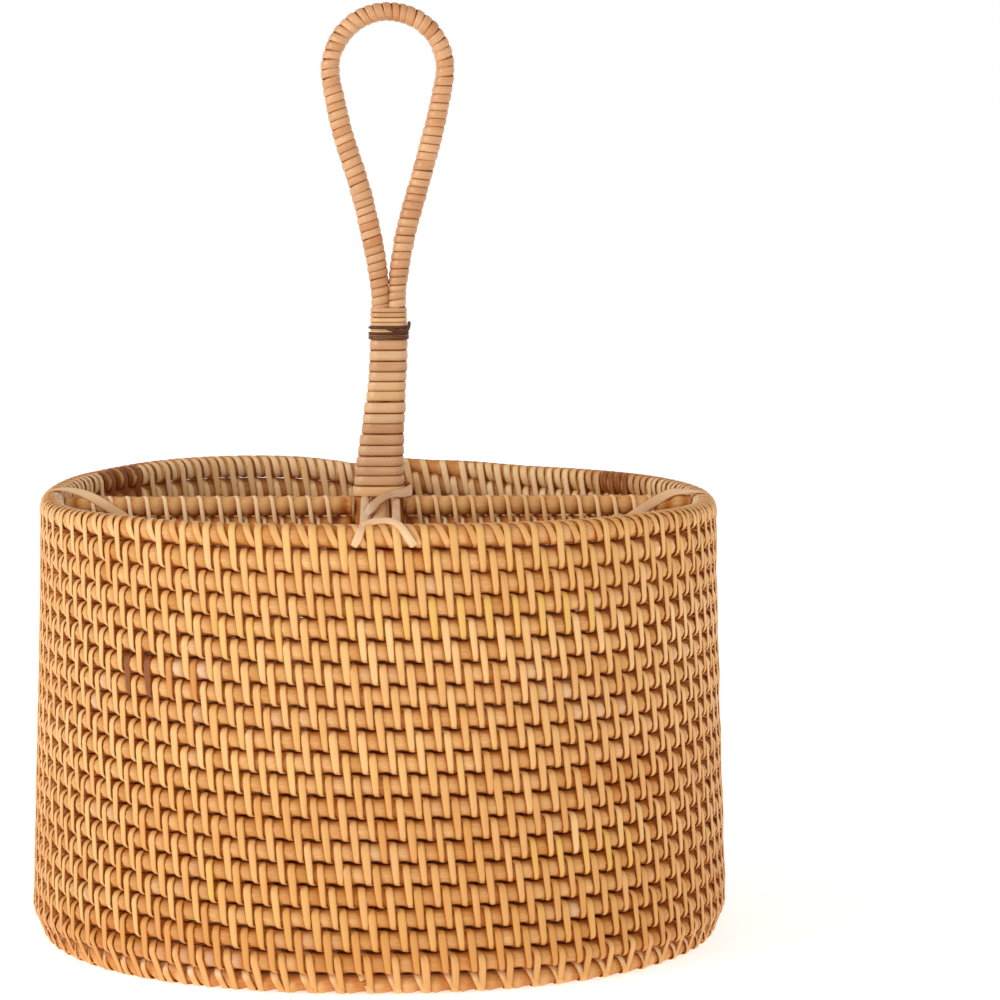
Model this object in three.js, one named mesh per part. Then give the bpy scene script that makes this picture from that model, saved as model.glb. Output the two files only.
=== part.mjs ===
// Round cane-stitched cutlery holder with four compartments and a bound loop handle.
// Millimetres, +Z up. The origin is on the surface it stands on, under the middle of the base.
// One round rattan core, laid on in spliced lengths, coils from the middle of the base up to the rim.

import * as THREE from 'three';

// Coiled body: sizes over the bare rods, before the cane that stitches them
const bodyWidth = 204.6;
const rimWidth = 199.2;
const rodDiameter = 5.3;
const stitchGap = 0.88;
const wallRows = 20;
const startRadius = 4.4;
const cornerInset = 2.4;
const cornerRise = 6.6;
const planSquareness = 2.2;
const climbShare = 0.2;
const footFlatShare = 0.1;
const rowsPerLength = 5;
const baseEndTurn = 0.38;
const spliceTurn = 0.62;
const rimTailShare = 0.5;

// Dividers: straight rods stacked on the base, each panel closed by a rail near the rim
const dividerThickness = 5.3;
const railDiameter = 5.3;
const railBelowRim = 1.46;

// Handle: one rattan pole bent to a loop, with a leg on each side of the long divider
const overallHeight = 272.6;
const loopWidth = 39.8;
const poleDiameter = 4.4;
const neckHeight = 185;
const neckRound = 4;
const legSpread = 2.4;
const handleLean = 2.6;
const leanHeight = 36;

// Cane bindings, ties and lashings
const bindingThickness = 0.6;
const windingStripWidth = 2.2;
const windingGap = 0.5;
const windingBelowNeck = 1;
const tieHeight = 3.4;
const tieBelowTop = 8.7;
const tieThickness = 0.8;
const lashingWidth = 2.6;
const lashingThickness = 0.6;
const lashingDrop = 5.2;
const lashingLift = 10.6;
const lashingSlant = 0.61;
const lashingTail = 3.3;
const braceDrop = 2.8;
const braceSplay = 3.4;
const braceWrapAngle = 0.6 * Math.PI;

// Clearances
const seatGap = 0.3;
const bindingGap = 0.25;
const legGap = 0.53;
const legSlit = 0.3;

// Facet counts
const wallSteps = 20;
const baseSteps = 16;
const innerBaseSteps = 8;
const innerBaseTurns = 2;
const poleSides = 8;
const loopArcSteps = 18;
const stemSteps = 10;
const neckSteps = 4;
const tieArcSteps = 6;
const overRimSteps = 4;
const railWrapSteps = 4;

const rodRadius = rodDiameter / 2;
const rowPitch = rodDiameter + stitchGap;
const poleRadius = poleDiameter / 2;
const railRadius = railDiameter / 2;
const bindingRadius = poleRadius + bindingGap + bindingThickness;
const standHeight = rodRadius - footFlatShare * rodDiameter;
const baseTop = standHeight + rodRadius;
const firstRowHeight = standHeight + cornerRise;
const rimHeight = firstRowHeight + (wallRows - 1) * rowPitch;

// The rods have six sides with flats above and below, as high as the round rod and equal in area
const rodHalfWidth = (Math.PI / 3) * rodRadius;
const wallRadius = bodyWidth / 2 - rodHalfWidth;
const rimRadius = rimWidth / 2 - rodHalfWidth;
const baseEdgeRadius = wallRadius - cornerInset;
const baseTurns = Math.floor((baseEdgeRadius - startRadius) / rowPitch) + 1;
const basePitch = (baseEdgeRadius - startRadius) / (baseTurns - 1);
const rimLevel = baseTurns + wallRows - 1;

// Turn at which the coil has climbed from the base to its first wall row
const wallStart = baseTurns - 1 + spliceTurn;

// Divider rods lie level with the wall rows, one fewer because the rail takes the place of the last
const railHeight = rimHeight - railBelowRim;
const railTop = railHeight + railRadius;
const panelBottom = baseTop + seatGap;
const panelTop = railHeight - railRadius - seatGap;
const dividerRows = wallRows - 1;
const dividerPitch = (panelTop - panelBottom) / dividerRows;

const legOffset = dividerThickness / 2 + legGap + poleRadius;
const windingTop = neckHeight - windingBelowNeck;
const tieCentre = windingTop - tieBelowTop;

const rodFinish = finish('#cf9458', 0.62);
const caneFinish = finish('#e3b27c', 0.42);
const poleFinish = finish('#b98a5c', 0.6);
const darkFinish = finish('#4a2c18', 0.5);

const holder = new THREE.Group();
holder.name = 'cutlery_holder';

function finish(tone, roughness) {
  return new THREE.MeshStandardMaterial({ color: tone, roughness, metalness: 0 });
}

function addPiece(name, geometry, material) {
  const mesh = new THREE.Mesh(geometry, material);
  mesh.name = name;
  holder.add(mesh);
  return mesh;
}

function vector(x, y, z) {
  return new THREE.Vector3(x, y, z);
}

function signedVolume(points, faces) {
  const cross = vector(0, 0, 0);
  let sum = 0;
  for (const [a, b, c] of faces) {
    sum += points[a].dot(cross.crossVectors(points[b], points[c]));
  }
  return sum / 6;
}

// A closed mesh from its corner points and triangles, with its faces turned outwards
function closedMesh(points, faces) {
  const outward = signedVolume(points, faces) > 0;
  const positions = points.flatMap((point) => [point.x, point.y, point.z]);
  const geometry = new THREE.BufferGeometry();
  geometry.setAttribute('position', new THREE.Float32BufferAttribute(positions, 3));
  geometry.setIndex(faces.flatMap(([a, b, c]) => (outward ? [a, b, c] : [a, c, b])));
  geometry.computeVertexNormals();
  return geometry;
}

// The sides of a solid that runs through like rings of points
function ringFaces(ringCount, sides, start = 0) {
  const faces = [];
  for (let ring = 0; ring < ringCount - 1; ring += 1) {
    for (let side = 0; side < sides; side += 1) {
      const a = start + ring * sides + side;
      const b = start + ring * sides + ((side + 1) % sides);
      faces.push([a, b, b + sides], [a, b + sides, a + sides]);
    }
  }
  return faces;
}

function solidThroughRings(rings) {
  const sides = rings[0].length;
  const faces = ringFaces(rings.length, sides);
  const last = (rings.length - 1) * sides;
  for (let side = 1; side < sides - 1; side += 1) {
    faces.push([0, side + 1, side], [last, last + side, last + side + 1]);
  }
  return closedMesh(rings.flat(), faces);
}

// A sleeve: outer and inner rings of the same count, joined by a flat at each end
function sleeveThroughRings(outerRings, innerRings) {
  const sides = outerRings[0].length;
  const bore = outerRings.length * sides;
  const last = bore - sides;
  const inner = ringFaces(innerRings.length, sides, bore).map(([a, b, c]) => [a, c, b]);
  const faces = [...ringFaces(outerRings.length, sides), ...inner];
  for (let side = 0; side < sides; side += 1) {
    const next = (side + 1) % sides;
    faces.push([side, bore + side, bore + next], [side, bore + next, next]);
    faces.push([last + side, bore + last + next, bore + last + side]);
    faces.push([last + side, last + next, bore + last + next]);
  }
  return closedMesh([...outerRings.flat(), ...innerRings.flat()], faces);
}

// The coil. Each level is one turn: the base turns lie flat and the wall rows stand on their edge.
function coilLevel(level) {
  if (level < baseTurns) {
    return { radius: startRadius + level * basePitch, height: standHeight };
  }
  const row = level - baseTurns;
  return {
    radius: THREE.MathUtils.lerp(wallRadius, rimRadius, row / (wallRows - 1)),
    height: firstRowHeight + row * rowPitch,
  };
}

// How far a turn has moved on to the next level. The inner turns wind steadily. Towards the edge
// they keep level and change over at the back, as every wall row does.
function climbDone(turn) {
  const level = Math.floor(turn);
  const done = turn - level;
  const change = THREE.MathUtils.smoothstep(done, 0.5 - climbShare / 2, 0.5 + climbShare / 2);
  return THREE.MathUtils.lerp(done, change, Math.min(1, level / (baseTurns - 1)));
}

// A turn starts at the front and goes round by the right-hand side to the back
function planDirection(turn) {
  const angle = (turn - 0.25) * 2 * Math.PI;
  const rounded = (value) => Math.sign(value) * Math.abs(value) ** (2 / planSquareness);
  return vector(rounded(Math.cos(angle)), rounded(Math.sin(angle)), 0);
}

// Corners lie a little outside the true curve, so that the flats between them average it
function facetGrowth(steps) {
  return 1 / Math.sqrt(Math.cos(Math.PI / steps));
}

function coilPoint(turn, steps) {
  const level = Math.min(Math.floor(turn), rimLevel);
  const here = coilLevel(level);
  const next = coilLevel(level + 1);
  const done = level < rimLevel ? climbDone(turn) : 0;
  const radius = THREE.MathUtils.lerp(here.radius, next.radius, done);
  const point = planDirection(turn).multiplyScalar(radius * facetGrowth(steps));
  point.z = THREE.MathUtils.lerp(here.height, next.height, done);
  return point;
}

// Horizontal direction square to the coil, away from the middle
function coilOutward(turn, steps) {
  const reach = 0.5 / steps;
  const along = coilPoint(turn + reach, steps).sub(coilPoint(turn - reach, steps));
  return vector(along.y, -along.x, 0).normalize();
}

const wallSection = [[1, 0], [0.5, 1], [-0.5, 1], [-1, 0], [-0.5, -1], [0.5, -1]];

// The same section, cut flat underneath where the holder stands
const footLevel = 2 * footFlatShare - 1;
const footHalf = 0.5 + footFlatShare;
const footSection = [
  [1, 0], [0.5, 1], [-0.5, 1], [-1, 0], [-footHalf, footLevel], [footHalf, footLevel],
];

// A section of the coil at a size from 0 to 1, its top kept level as it gets smaller
function coilRing(turn, steps, section, size = 1) {
  const centre = coilPoint(turn, steps);
  const outward = coilOutward(turn, steps);
  return section.map(([across, up]) => {
    const corner = centre.clone().addScaledVector(outward, across * rodHalfWidth * size);
    corner.z += (up * size + 1 - size) * rodRadius;
    return corner;
  });
}

function coilStops(start, end, steps) {
  const stops = [start];
  const shortest = 0.2;
  for (let step = Math.ceil(start * steps + shortest); step < end * steps - shortest; step += 1) {
    stops.push(step / steps);
  }
  stops.push(end);
  return stops;
}

// Prints the least distance between surface points that lie half a turn or more apart
function reportGap(name, rings, stepsPerTurn) {
  let least = Infinity;
  for (let first = 0; first < rings.length; first += 1) {
    const others = rings.slice(first + Math.floor(stepsPerTurn / 2)).flat();
    for (const corner of rings[first]) {
      least = others.reduce((gap, other) => Math.min(gap, corner.distanceTo(other)), least);
    }
  }
  console.log(`${name}: least gap to itself ${least.toFixed(2)} mm`);
}

function spliceShare(turn) {
  return seatGap / (2 * Math.PI * coilLevel(Math.floor(turn)).radius);
}

// Stretches of the coil that differ in facets and in section: the small turns in the middle, the
// rest of the base with the climb out of it, and the wall
const coilStretches = [
  { from: 0, to: innerBaseTurns, stopsPerTurn: innerBaseSteps, steps: baseSteps, section: footSection },
  { from: innerBaseTurns, to: wallStart, stopsPerTurn: baseSteps, steps: baseSteps, section: footSection },
  { from: wallStart, to: rimLevel, stopsPerTurn: wallSteps, steps: wallSteps, section: wallSection },
];

function coilRings(start, end) {
  const rings = [];
  for (const { from, to, stopsPerTurn, steps, section } of coilStretches) {
    const first = Math.max(start, from);
    const last = Math.min(end, to);
    if (first < last) {
      const stops = coilStops(first, last, stopsPerTurn);
      const added = rings.length > 0 ? stops.slice(1) : stops;
      rings.push(...added.map((turn) => coilRing(turn, steps, section)));
    }
  }
  return rings;
}

function addBaseRod() {
  const rings = coilRings(0, baseTurns - 1 + baseEndTurn);
  reportGap('base_rod', rings, innerBaseSteps);
  addPiece('base_rod', solidThroughRings(rings), rodFinish);
}

// The first wall rod starts on the base, just before the climb
function addWallRods() {
  const topSplice = rimLevel - 1 + spliceTurn;
  let start = baseTurns - 1 + baseEndTurn;
  for (let number = 1; start < topSplice; number += 1) {
    const end = Math.min(wallStart + number * rowsPerLength, topSplice);
    const rings = coilRings(start + spliceShare(start), end);
    reportGap(`wall_rod_${number}`, rings, baseSteps);
    addPiece(`wall_rod_${number}`, solidThroughRings(rings), rodFinish);
    start = end;
  }
}

// The last turn lies on the rows below, and its tail thins out over the rod that climbs beneath it
function addRimRod() {
  const start = rimLevel - 1 + spliceTurn;
  const tailEnd = rimLevel + 0.5 + (rimTailShare - 0.5) * climbShare;
  const stops = coilStops(start + spliceShare(start), tailEnd, wallSteps);
  const rings = stops.map((turn) => {
    const risen = turn > rimLevel ? climbDone(turn) : 0;
    const size = 1 - (risen * rowPitch) / rodDiameter;
    return coilRing(turn, wallSteps, wallSection, size);
  });
  addPiece('rim_rod', solidThroughRings(rings), rodFinish);
}

// Distance from the middle to the inner side of the wall, at the front, back and sides. Below the
// first wall row the coil draws in towards the edge of the base.
function innerReach(height) {
  const { mapLinear } = THREE.MathUtils;
  const radius = height > firstRowHeight
    ? mapLinear(height, firstRowHeight, rimHeight, wallRadius, rimRadius)
    : mapLinear(height, firstRowHeight, standHeight, wallRadius, baseEdgeRadius);
  return radius * facetGrowth(wallSteps) - rodHalfWidth;
}

// Outline of rods stacked on each other: a valley, a crest and a valley on each side of each rod
function stackedRodsShape() {
  const crest = dividerThickness / 2;
  const valley = crest / 2;
  const valleyRise = (crest * Math.sqrt(3)) / 2;
  const side = [];
  for (let row = 0; row < dividerRows; row += 1) {
    const middle = panelBottom + (row + 0.5) * dividerPitch;
    side.push([valley, middle - valleyRise], [crest, middle], [valley, middle + valleyRise]);
  }
  side[0][1] = panelBottom;
  side[side.length - 1][1] = panelTop;
  const otherSide = side.map(([across, height]) => [-across, height]).reverse();
  return new THREE.Shape([...side, ...otherSide].map(([x, y]) => new THREE.Vector2(x, y)));
}

function railShape() {
  const corners = [];
  for (let side = 0; side < poleSides; side += 1) {
    const angle = ((side + 0.5) / poleSides) * 2 * Math.PI;
    const reach = railRadius / Math.cos(Math.PI / poleSides);
    corners.push(new THREE.Vector2(reach * Math.cos(angle), railHeight + reach * Math.sin(angle)));
  }
  return new THREE.Shape(corners);
}

// Runs a shape, drawn across and upwards, from one end to the other. Each end may depend on height.
function runBetween(shape, startAt, endAt, place) {
  const geometry = new THREE.ExtrudeGeometry(shape, { depth: 1, bevelEnabled: false });
  const positions = geometry.getAttribute('position');
  for (let index = 0; index < positions.count; index += 1) {
    const height = positions.getY(index);
    const along = THREE.MathUtils.lerp(startAt(height), endAt(height), positions.getZ(index));
    const point = place(positions.getX(index), along, height);
    positions.setXYZ(index, point.x, point.y, point.z);
  }
  return geometry;
}

const frontToBack = (across, along, height) => vector(-across, along, height);
const sideToSide = (across, along, height) => vector(along, across, height);

// The long divider runs from front to back. The short ones stand in line on each side of the legs.
function addDividers() {
  const wallEnd = (height) => innerReach(height) - seatGap;
  const farEnd = (height) => -wallEnd(height);
  const legEnd = () => legOffset + poleRadius + seatGap;
  const nearEnd = () => -legEnd();
  const members = [['divider', stackedRodsShape], ['rail', railShape]];
  for (const [name, shape] of members) {
    addPiece(`${name}_front_back`, runBetween(shape(), farEnd, wallEnd, frontToBack), rodFinish);
    addPiece(`${name}_left`, runBetween(shape(), farEnd, nearEnd, sideToSide), rodFinish);
    addPiece(`${name}_right`, runBetween(shape(), legEnd, wallEnd, sideToSide), rodFinish);
  }
}

// Handle line, right-hand half, in the upright plane through both legs
const neckOffset = poleRadius + legSlit / 2;
const loopRadius = loopWidth / 2 - bindingRadius;
const loopCentre = overallHeight - bindingRadius - loopRadius;
const neckDistance = Math.hypot(neckOffset, loopCentre - neckHeight);
const sideAngle = Math.asin(loopRadius / neckDistance) - Math.asin(neckOffset / neckDistance);

function onSideLine(offset) {
  return new THREE.Vector2(offset, neckHeight + (offset - neckOffset) / Math.tan(sideAngle));
}

// Half the distance between the legs below the neck. Going down they part slowly, then faster.
function legLineOffset(height) {
  const down = (neckHeight - height) / (neckHeight - railTop);
  return THREE.MathUtils.lerp(neckOffset, legOffset, down ** legSpread);
}

function stemLine() {
  const points = [];
  for (let step = 1; step < stemSteps; step += 1) {
    const height = THREE.MathUtils.lerp(railTop, neckHeight - neckRound, step / stemSteps);
    points.push(new THREE.Vector2(legLineOffset(height), height));
  }
  return points;
}

function neckCurve() {
  const below = neckHeight - neckRound;
  const above = neckOffset + neckRound * Math.tan(sideAngle);
  const corner = new THREE.Vector2(neckOffset, neckHeight);
  return new THREE.QuadraticBezierCurve(
    new THREE.Vector2(legLineOffset(below), below), corner, onSideLine(above),
  );
}

function loopArc() {
  const points = [];
  for (let step = 0; step <= loopArcSteps / 2; step += 1) {
    const angle = THREE.MathUtils.lerp(-sideAngle, Math.PI / 2, step / (loopArcSteps / 2));
    points.push(new THREE.Vector2(loopRadius * Math.cos(angle), loopCentre + loopRadius * Math.sin(angle)));
  }
  return points;
}

function mirrored(points) {
  const others = points.slice(0, -1).reverse();
  return [...points, ...others.map((point) => new THREE.Vector2(-point.x, point.y))];
}

// The stem leans a little to the right between the dividers and the loop
function leanAt(height) {
  return handleLean * THREE.MathUtils.smoothstep(height, railTop, railTop + leanHeight);
}

function ringsAlong(points, radius) {
  return points.map((point, index) => {
    const before = points[Math.max(index - 1, 0)];
    const after = points[Math.min(index + 1, points.length - 1)];
    const along = after.clone().sub(before).normalize();
    const ring = [];
    for (let side = 0; side < poleSides; side += 1) {
      const angle = (side / poleSides) * 2 * Math.PI;
      const across = radius * Math.cos(angle);
      const x = point.x + along.y * across + leanAt(point.y);
      ring.push(vector(x, radius * Math.sin(angle), point.y - along.x * across));
    }
    return ring;
  });
}

function addHandle() {
  const foot = new THREE.Vector2(legOffset, panelBottom);
  const hip = new THREE.Vector2(legOffset, railTop);
  const half = [foot, hip, ...stemLine(), ...neckCurve().getPoints(neckSteps), ...loopArc()];
  addPiece('handle_pole', solidThroughRings(ringsAlong(mirrored(half), poleRadius)), poleFinish);

  const bound = mirrored([onSideLine(bindingRadius + legSlit / 2), ...loopArc()]);
  const outer = ringsAlong(bound, bindingRadius);
  const inner = ringsAlong(bound, poleRadius + bindingGap);
  addPiece('loop_binding', sleeveThroughRings(outer, inner), caneFinish);
}

// Half the distance between the legs at a height on the stem
function legsApart(height) {
  const curve = neckCurve();
  const share = (height - curve.v0.y) / (curve.v2.y - curve.v0.y);
  return share > 0 ? curve.getPoint(share).x : legLineOffset(height);
}

// Eight corners of a loop drawn round both legs, a given distance off them
const windingCorners = 8;

function roundBothLegs(height, distance) {
  const half = legsApart(height);
  const near = distance * Math.tan(Math.PI / windingCorners);
  const quarter = [[half + distance, near], [half + near, distance]];
  const corners = [
    ...quarter,
    ...quarter.map(([x, y]) => [-x, y]).reverse(),
    ...quarter.map(([x, y]) => [-x, -y]),
    ...quarter.map(([x, y]) => [x, -y]).reverse(),
  ];
  return corners.map(([x, y]) => new THREE.Vector2(x + leanAt(height), y));
}

// One unbroken strip wound up the stem round both legs
function addStemBinding() {
  const bottom = railTop + seatGap + windingStripWidth / 2;
  const climb = windingTop - windingStripWidth / 2 - bottom;
  const turns = Math.floor(climb / (windingStripWidth + windingGap));
  const pitch = climb / turns;
  const inner = poleRadius + bindingGap;
  const rings = [];
  for (let step = 0; step <= turns * windingCorners; step += 1) {
    const height = bottom + (step / windingCorners) * pitch;
    const [near, far] = [inner, bindingRadius].map(
      (distance) => roundBothLegs(height, distance)[step % windingCorners],
    );
    const low = height - windingStripWidth / 2;
    const high = height + windingStripWidth / 2;
    rings.push([
      vector(near.x, near.y, low), vector(far.x, far.y, low),
      vector(far.x, far.y, high), vector(near.x, near.y, high),
    ]);
  }
  reportGap('stem_binding', rings, windingCorners);
  addPiece('stem_binding', solidThroughRings(rings), caneFinish);
}

function stadiumPath(path, half, radius) {
  path.absarc(half, 0, radius, -Math.PI / 2, Math.PI / 2);
  path.absarc(-half, 0, radius, Math.PI / 2, Math.PI * 1.5);
  path.closePath();
  return path;
}

// A dark cane tie over the stem binding, just under the loop
function addDarkTie() {
  const half = legsApart(tieCentre);
  const inner = bindingRadius / Math.cos(Math.PI / windingCorners) + seatGap;
  const shape = stadiumPath(new THREE.Shape(), half, inner + tieThickness);
  shape.holes.push(stadiumPath(new THREE.Path(), half, inner));
  const geometry = new THREE.ExtrudeGeometry(shape, {
    depth: tieHeight, bevelEnabled: false, curveSegments: tieArcSteps,
  });
  geometry.translate(leanAt(tieCentre), 0, tieCentre - tieHeight / 2);
  addPiece('dark_tie', geometry, darkFinish);
}

// A flat strip through stops that each give its middle, the way it faces and the way across it
function strap(stops) {
  return solidThroughRings(stops.map(({ middle, facing, across }) => {
    const corners = [[-1, 0], [1, 0], [1, 1], [-1, 1]];
    return corners.map(([side, out]) => middle.clone()
      .addScaledVector(across, (side * lashingWidth) / 2)
      .addScaledVector(facing, out * lashingThickness));
  }));
}

// The stops of a strip from inside the holder, over the rim and down its outer side. The strip
// clears the corners of the rim's section by the seat gap.
function overRim(rimPoint, outward, across, innerAngle, drop) {
  const reach = Math.hypot(rodHalfWidth / 2, rodRadius) + seatGap;
  const stops = [];
  for (let step = 0; step <= overRimSteps; step += 1) {
    const share = step / overRimSteps;
    const angle = THREE.MathUtils.lerp(innerAngle, 0, share);
    const facing = outward.clone().multiplyScalar(Math.cos(angle));
    facing.z = Math.sin(angle);
    stops.push({ middle: rimPoint(share).addScaledVector(facing, reach), facing, across });
  }
  const last = stops[stops.length - 1];
  const middle = last.middle.clone();
  middle.z -= drop;
  stops.push({ middle, facing: outward, across });
  return stops;
}

// At each side, a strip holds the short divider's rail to the rim. Inside, it slants from the top
// of the rail round to its front and ends lower down, in front of the divider.
function addEndLashing(name, side) {
  const outward = vector(side, 0, 0);
  const across = vector(0, side, 0);
  const rimReach = rimRadius * facetGrowth(wallSteps);
  const rimPoint = () => vector(side * rimReach, 0, rimHeight);
  const railReach = railRadius / Math.cos(Math.PI / poleSides) + seatGap;
  const onRail = (angle, tail) => {
    const facing = vector(0, -Math.cos(angle), Math.sin(angle));
    const down = vector(0, -Math.sin(angle), -Math.cos(angle));
    const wound = (Math.PI / 2 - angle) * railReach + tail;
    const x = rimReach - lashingLift - wound / Math.tan(lashingSlant);
    const middle = vector(side * x, 0, railHeight);
    middle.addScaledVector(facing, railReach).addScaledVector(down, tail);
    const slanted = vector(-Math.sin(lashingSlant), 0, 0);
    slanted.addScaledVector(down, -side * Math.cos(lashingSlant));
    return { middle, facing, across: slanted };
  };
  const stops = [onRail(0, lashingTail)];
  for (let step = 0; step <= railWrapSteps; step += 1) {
    stops.push(onRail((step / railWrapSteps) * (Math.PI / 2), 0));
  }
  stops.push(...overRim(rimPoint, outward, across, Math.PI / 2, lashingDrop));
  addPiece(name, strap(stops), caneFinish);
}

// In front and behind, a pair of strips holds the foot of the handle to the rim, one on each side
// of the long rail, splayed where they go down the outside
function addBrace(name, side, end) {
  const slope = Math.PI / wallSteps;
  const across = vector(Math.cos(slope), -side * end * Math.sin(slope), 0);
  const outward = vector(side * Math.sin(slope), end * Math.cos(slope), 0);
  const up = vector(0, 0, 1);
  const offset = railRadius + seatGap + lashingWidth / 2;
  const rimReach = rimRadius * facetGrowth(wallSteps);
  const rimPoint = (share) => {
    const x = offset + share * braceSplay;
    return vector(side * x, end * (rimReach - x * Math.tan(slope)), rimHeight);
  };
  const besideRail = (y) => ({
    middle: vector(side * offset, end * y, railHeight + railRadius / 2),
    facing: up,
    across: vector(1, 0, 0),
  });
  const stops = [
    besideRail(bindingRadius + seatGap),
    besideRail(rimReach - lashingLift),
    ...overRim(rimPoint, outward, across, braceWrapAngle, braceDrop),
  ];
  addPiece(name, strap(stops), caneFinish);
}

addBaseRod();
addWallRods();
addRimRod();
addDividers();
addHandle();
addStemBinding();
addDarkTie();
addEndLashing('lashing_left', -1);
addEndLashing('lashing_right', 1);
addBrace('brace_front_left', -1, -1);
addBrace('brace_front_right', 1, -1);
addBrace('brace_rear_left', -1, 1);
addBrace('brace_rear_right', 1, 1);

export default holder;
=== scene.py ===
"""Coiled rattan cutlery holder: core, cane stitches, crossed dividers and a bound loop handle.

Laid out as an add-on and run as a script. Each operator makes one piece or a group of like pieces.
Lengths are metres. A turn of the coil starts at the front and goes by the right to the back.
"""

import math

import bpy
import numpy as np
from bpy.props import FloatProperty, FloatVectorProperty, IntProperty, PointerProperty
from mathutils import Matrix, Vector


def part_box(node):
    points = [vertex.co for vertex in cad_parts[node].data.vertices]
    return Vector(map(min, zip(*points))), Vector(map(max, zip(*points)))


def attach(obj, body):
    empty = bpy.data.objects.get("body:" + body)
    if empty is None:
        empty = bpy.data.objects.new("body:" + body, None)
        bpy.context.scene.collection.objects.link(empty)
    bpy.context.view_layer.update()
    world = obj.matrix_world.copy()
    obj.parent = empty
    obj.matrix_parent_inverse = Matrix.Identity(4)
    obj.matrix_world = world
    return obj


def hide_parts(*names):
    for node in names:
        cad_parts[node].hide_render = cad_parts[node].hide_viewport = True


bl_info = {
    "name": "Coiled Rattan Cutlery Holder",
    "version": (1, 0, 0),
    "blender": (4, 5, 0),
    "location": "3D View > Sidebar > Holder",
    "description": "Makes a coiled rattan cutlery holder with its cane stitches and loop handle",
    "category": "Add Mesh",
}

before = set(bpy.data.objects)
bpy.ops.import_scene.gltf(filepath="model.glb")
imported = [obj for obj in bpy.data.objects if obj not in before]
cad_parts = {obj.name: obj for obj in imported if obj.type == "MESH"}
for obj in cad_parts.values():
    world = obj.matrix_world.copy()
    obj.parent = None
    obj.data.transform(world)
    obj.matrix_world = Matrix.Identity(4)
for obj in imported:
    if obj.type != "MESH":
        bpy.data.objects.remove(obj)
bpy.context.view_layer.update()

MM = 0.001
UP = np.array((0.0, 0.0, 1.0))


def linear(code):
    """Linear colour of an sRGB hex value such as #E9B47A."""
    channels = [int(code[start : start + 2], 16) / 255 for start in (1, 3, 5)]
    return tuple(c / 12.92 if c <= 0.04045 else ((c + 0.055) / 1.055) ** 2.4 for c in channels)


def length(name, description, millimetres):
    return FloatProperty(
        name=name,
        description=description,
        default=millimetres * MM,
        min=0.0,
        subtype="DISTANCE",
        unit="LENGTH",
    )


def share(name, description, default):
    return FloatProperty(name=name, description=description, default=default)


def whole(name, description, default, **limits):
    return IntProperty(name=name, description=description, default=default, **limits)


def colour(name, description, code):
    return FloatVectorProperty(
        name=name,
        description=description,
        default=linear(code),
        size=3,
        min=0.0,
        max=1.0,
        subtype="COLOR",
    )


class CoilSettings(bpy.types.PropertyGroup):
    """The coiled core of base and wall"""

    core_diameter: length("Core diameter", "Thickness of the round core", 5.3)
    body_width: length("Body width", "Width over the bare core at the foot of the wall", 204.6)
    rim_width: length("Rim width", "Width over the bare core at the rim", 197.2)
    start_radius: length("Start radius", "Where the coil begins, from the middle", 4.4)
    corner_inset: length("Corner inset", "How far the base's edge lies inside the wall", 2.4)
    corner_rise: length("Corner rise", "Height of the first wall row over the base", 6.0)
    base_turns: whole("Base turns", "Turns in the base", 16, min=2)
    wall_rows: whole("Wall rows", "Rows in the wall", 20, min=2)
    squareness: share("Squareness", "Exponent of the plan outline, 2 for a circle", 2.2)
    climb_share: share("Climb share", "Share of a turn in which the coil changes rows", 0.2)
    pillow: length("Pillow", "How far the core swells between the stitches", 0.74)
    pinch: length("Pinch", "How far the stitches press into the core", 0.3)
    waver: length("Waver", "How far the rows stray from their line", 0.22)
    rim_lift: share("Rim lift", "How much of the rim's rise and fall is kept", 1.0)
    rim_diameter: length("Rim diameter", "Thickness of the core in the top rows", 5.95)
    row_sag: length("Row sag", "How far the rows under the rim hang below even spacing", 1.1)
    closing: length("Closing", "How far the core is pressed against its neighbours inside", 0.45)


class StitchSettings(bpy.types.PropertyGroup):
    """The split cane that stitches each row to the one below"""

    width: length("Strip width", "Width of the cane", 2.16)
    thickness: length("Strip thickness", "Thickness of the cane", 0.46)
    front_pitch: length("Front pitch", "Distance between stitches at the front", 7.58)
    back_pitch: length("Back pitch", "Distance between stitches at the back", 6.25)
    row_shift: share("Row shift", "Share of a stitch by which a row lags the one below", 0.427)
    lean: share("Lean", "Share of a stitch that a strip leans over two rows", 0.15)
    rim_lean: share("Rim lean", "Share of a stitch that a wrap round the rim leans", 0.36)
    rim_offset: share("Rim offset", "Share of a stitch from a strip to the wrap beside it", 0.52)
    strip_shortest: whole("Shortest strip", "Least stitches of a strip", 14)
    strip_longest: whole("Longest strip", "Most stitches of a strip", 38)


class DividerSettings(bpy.types.PropertyGroup):
    """The crossed dividers"""

    rod_diameter: length("Rod diameter", "Thickness of the stacked rods", 5.3)
    strip_width: length("Strip width", "Width of the cane on the dividers", 1.35)
    strip_pitch: length("Strip pitch", "Distance between the strips", 5.3)
    end_gap: length("End gap", "Room left at the ends of the rods", 0.5)


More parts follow.
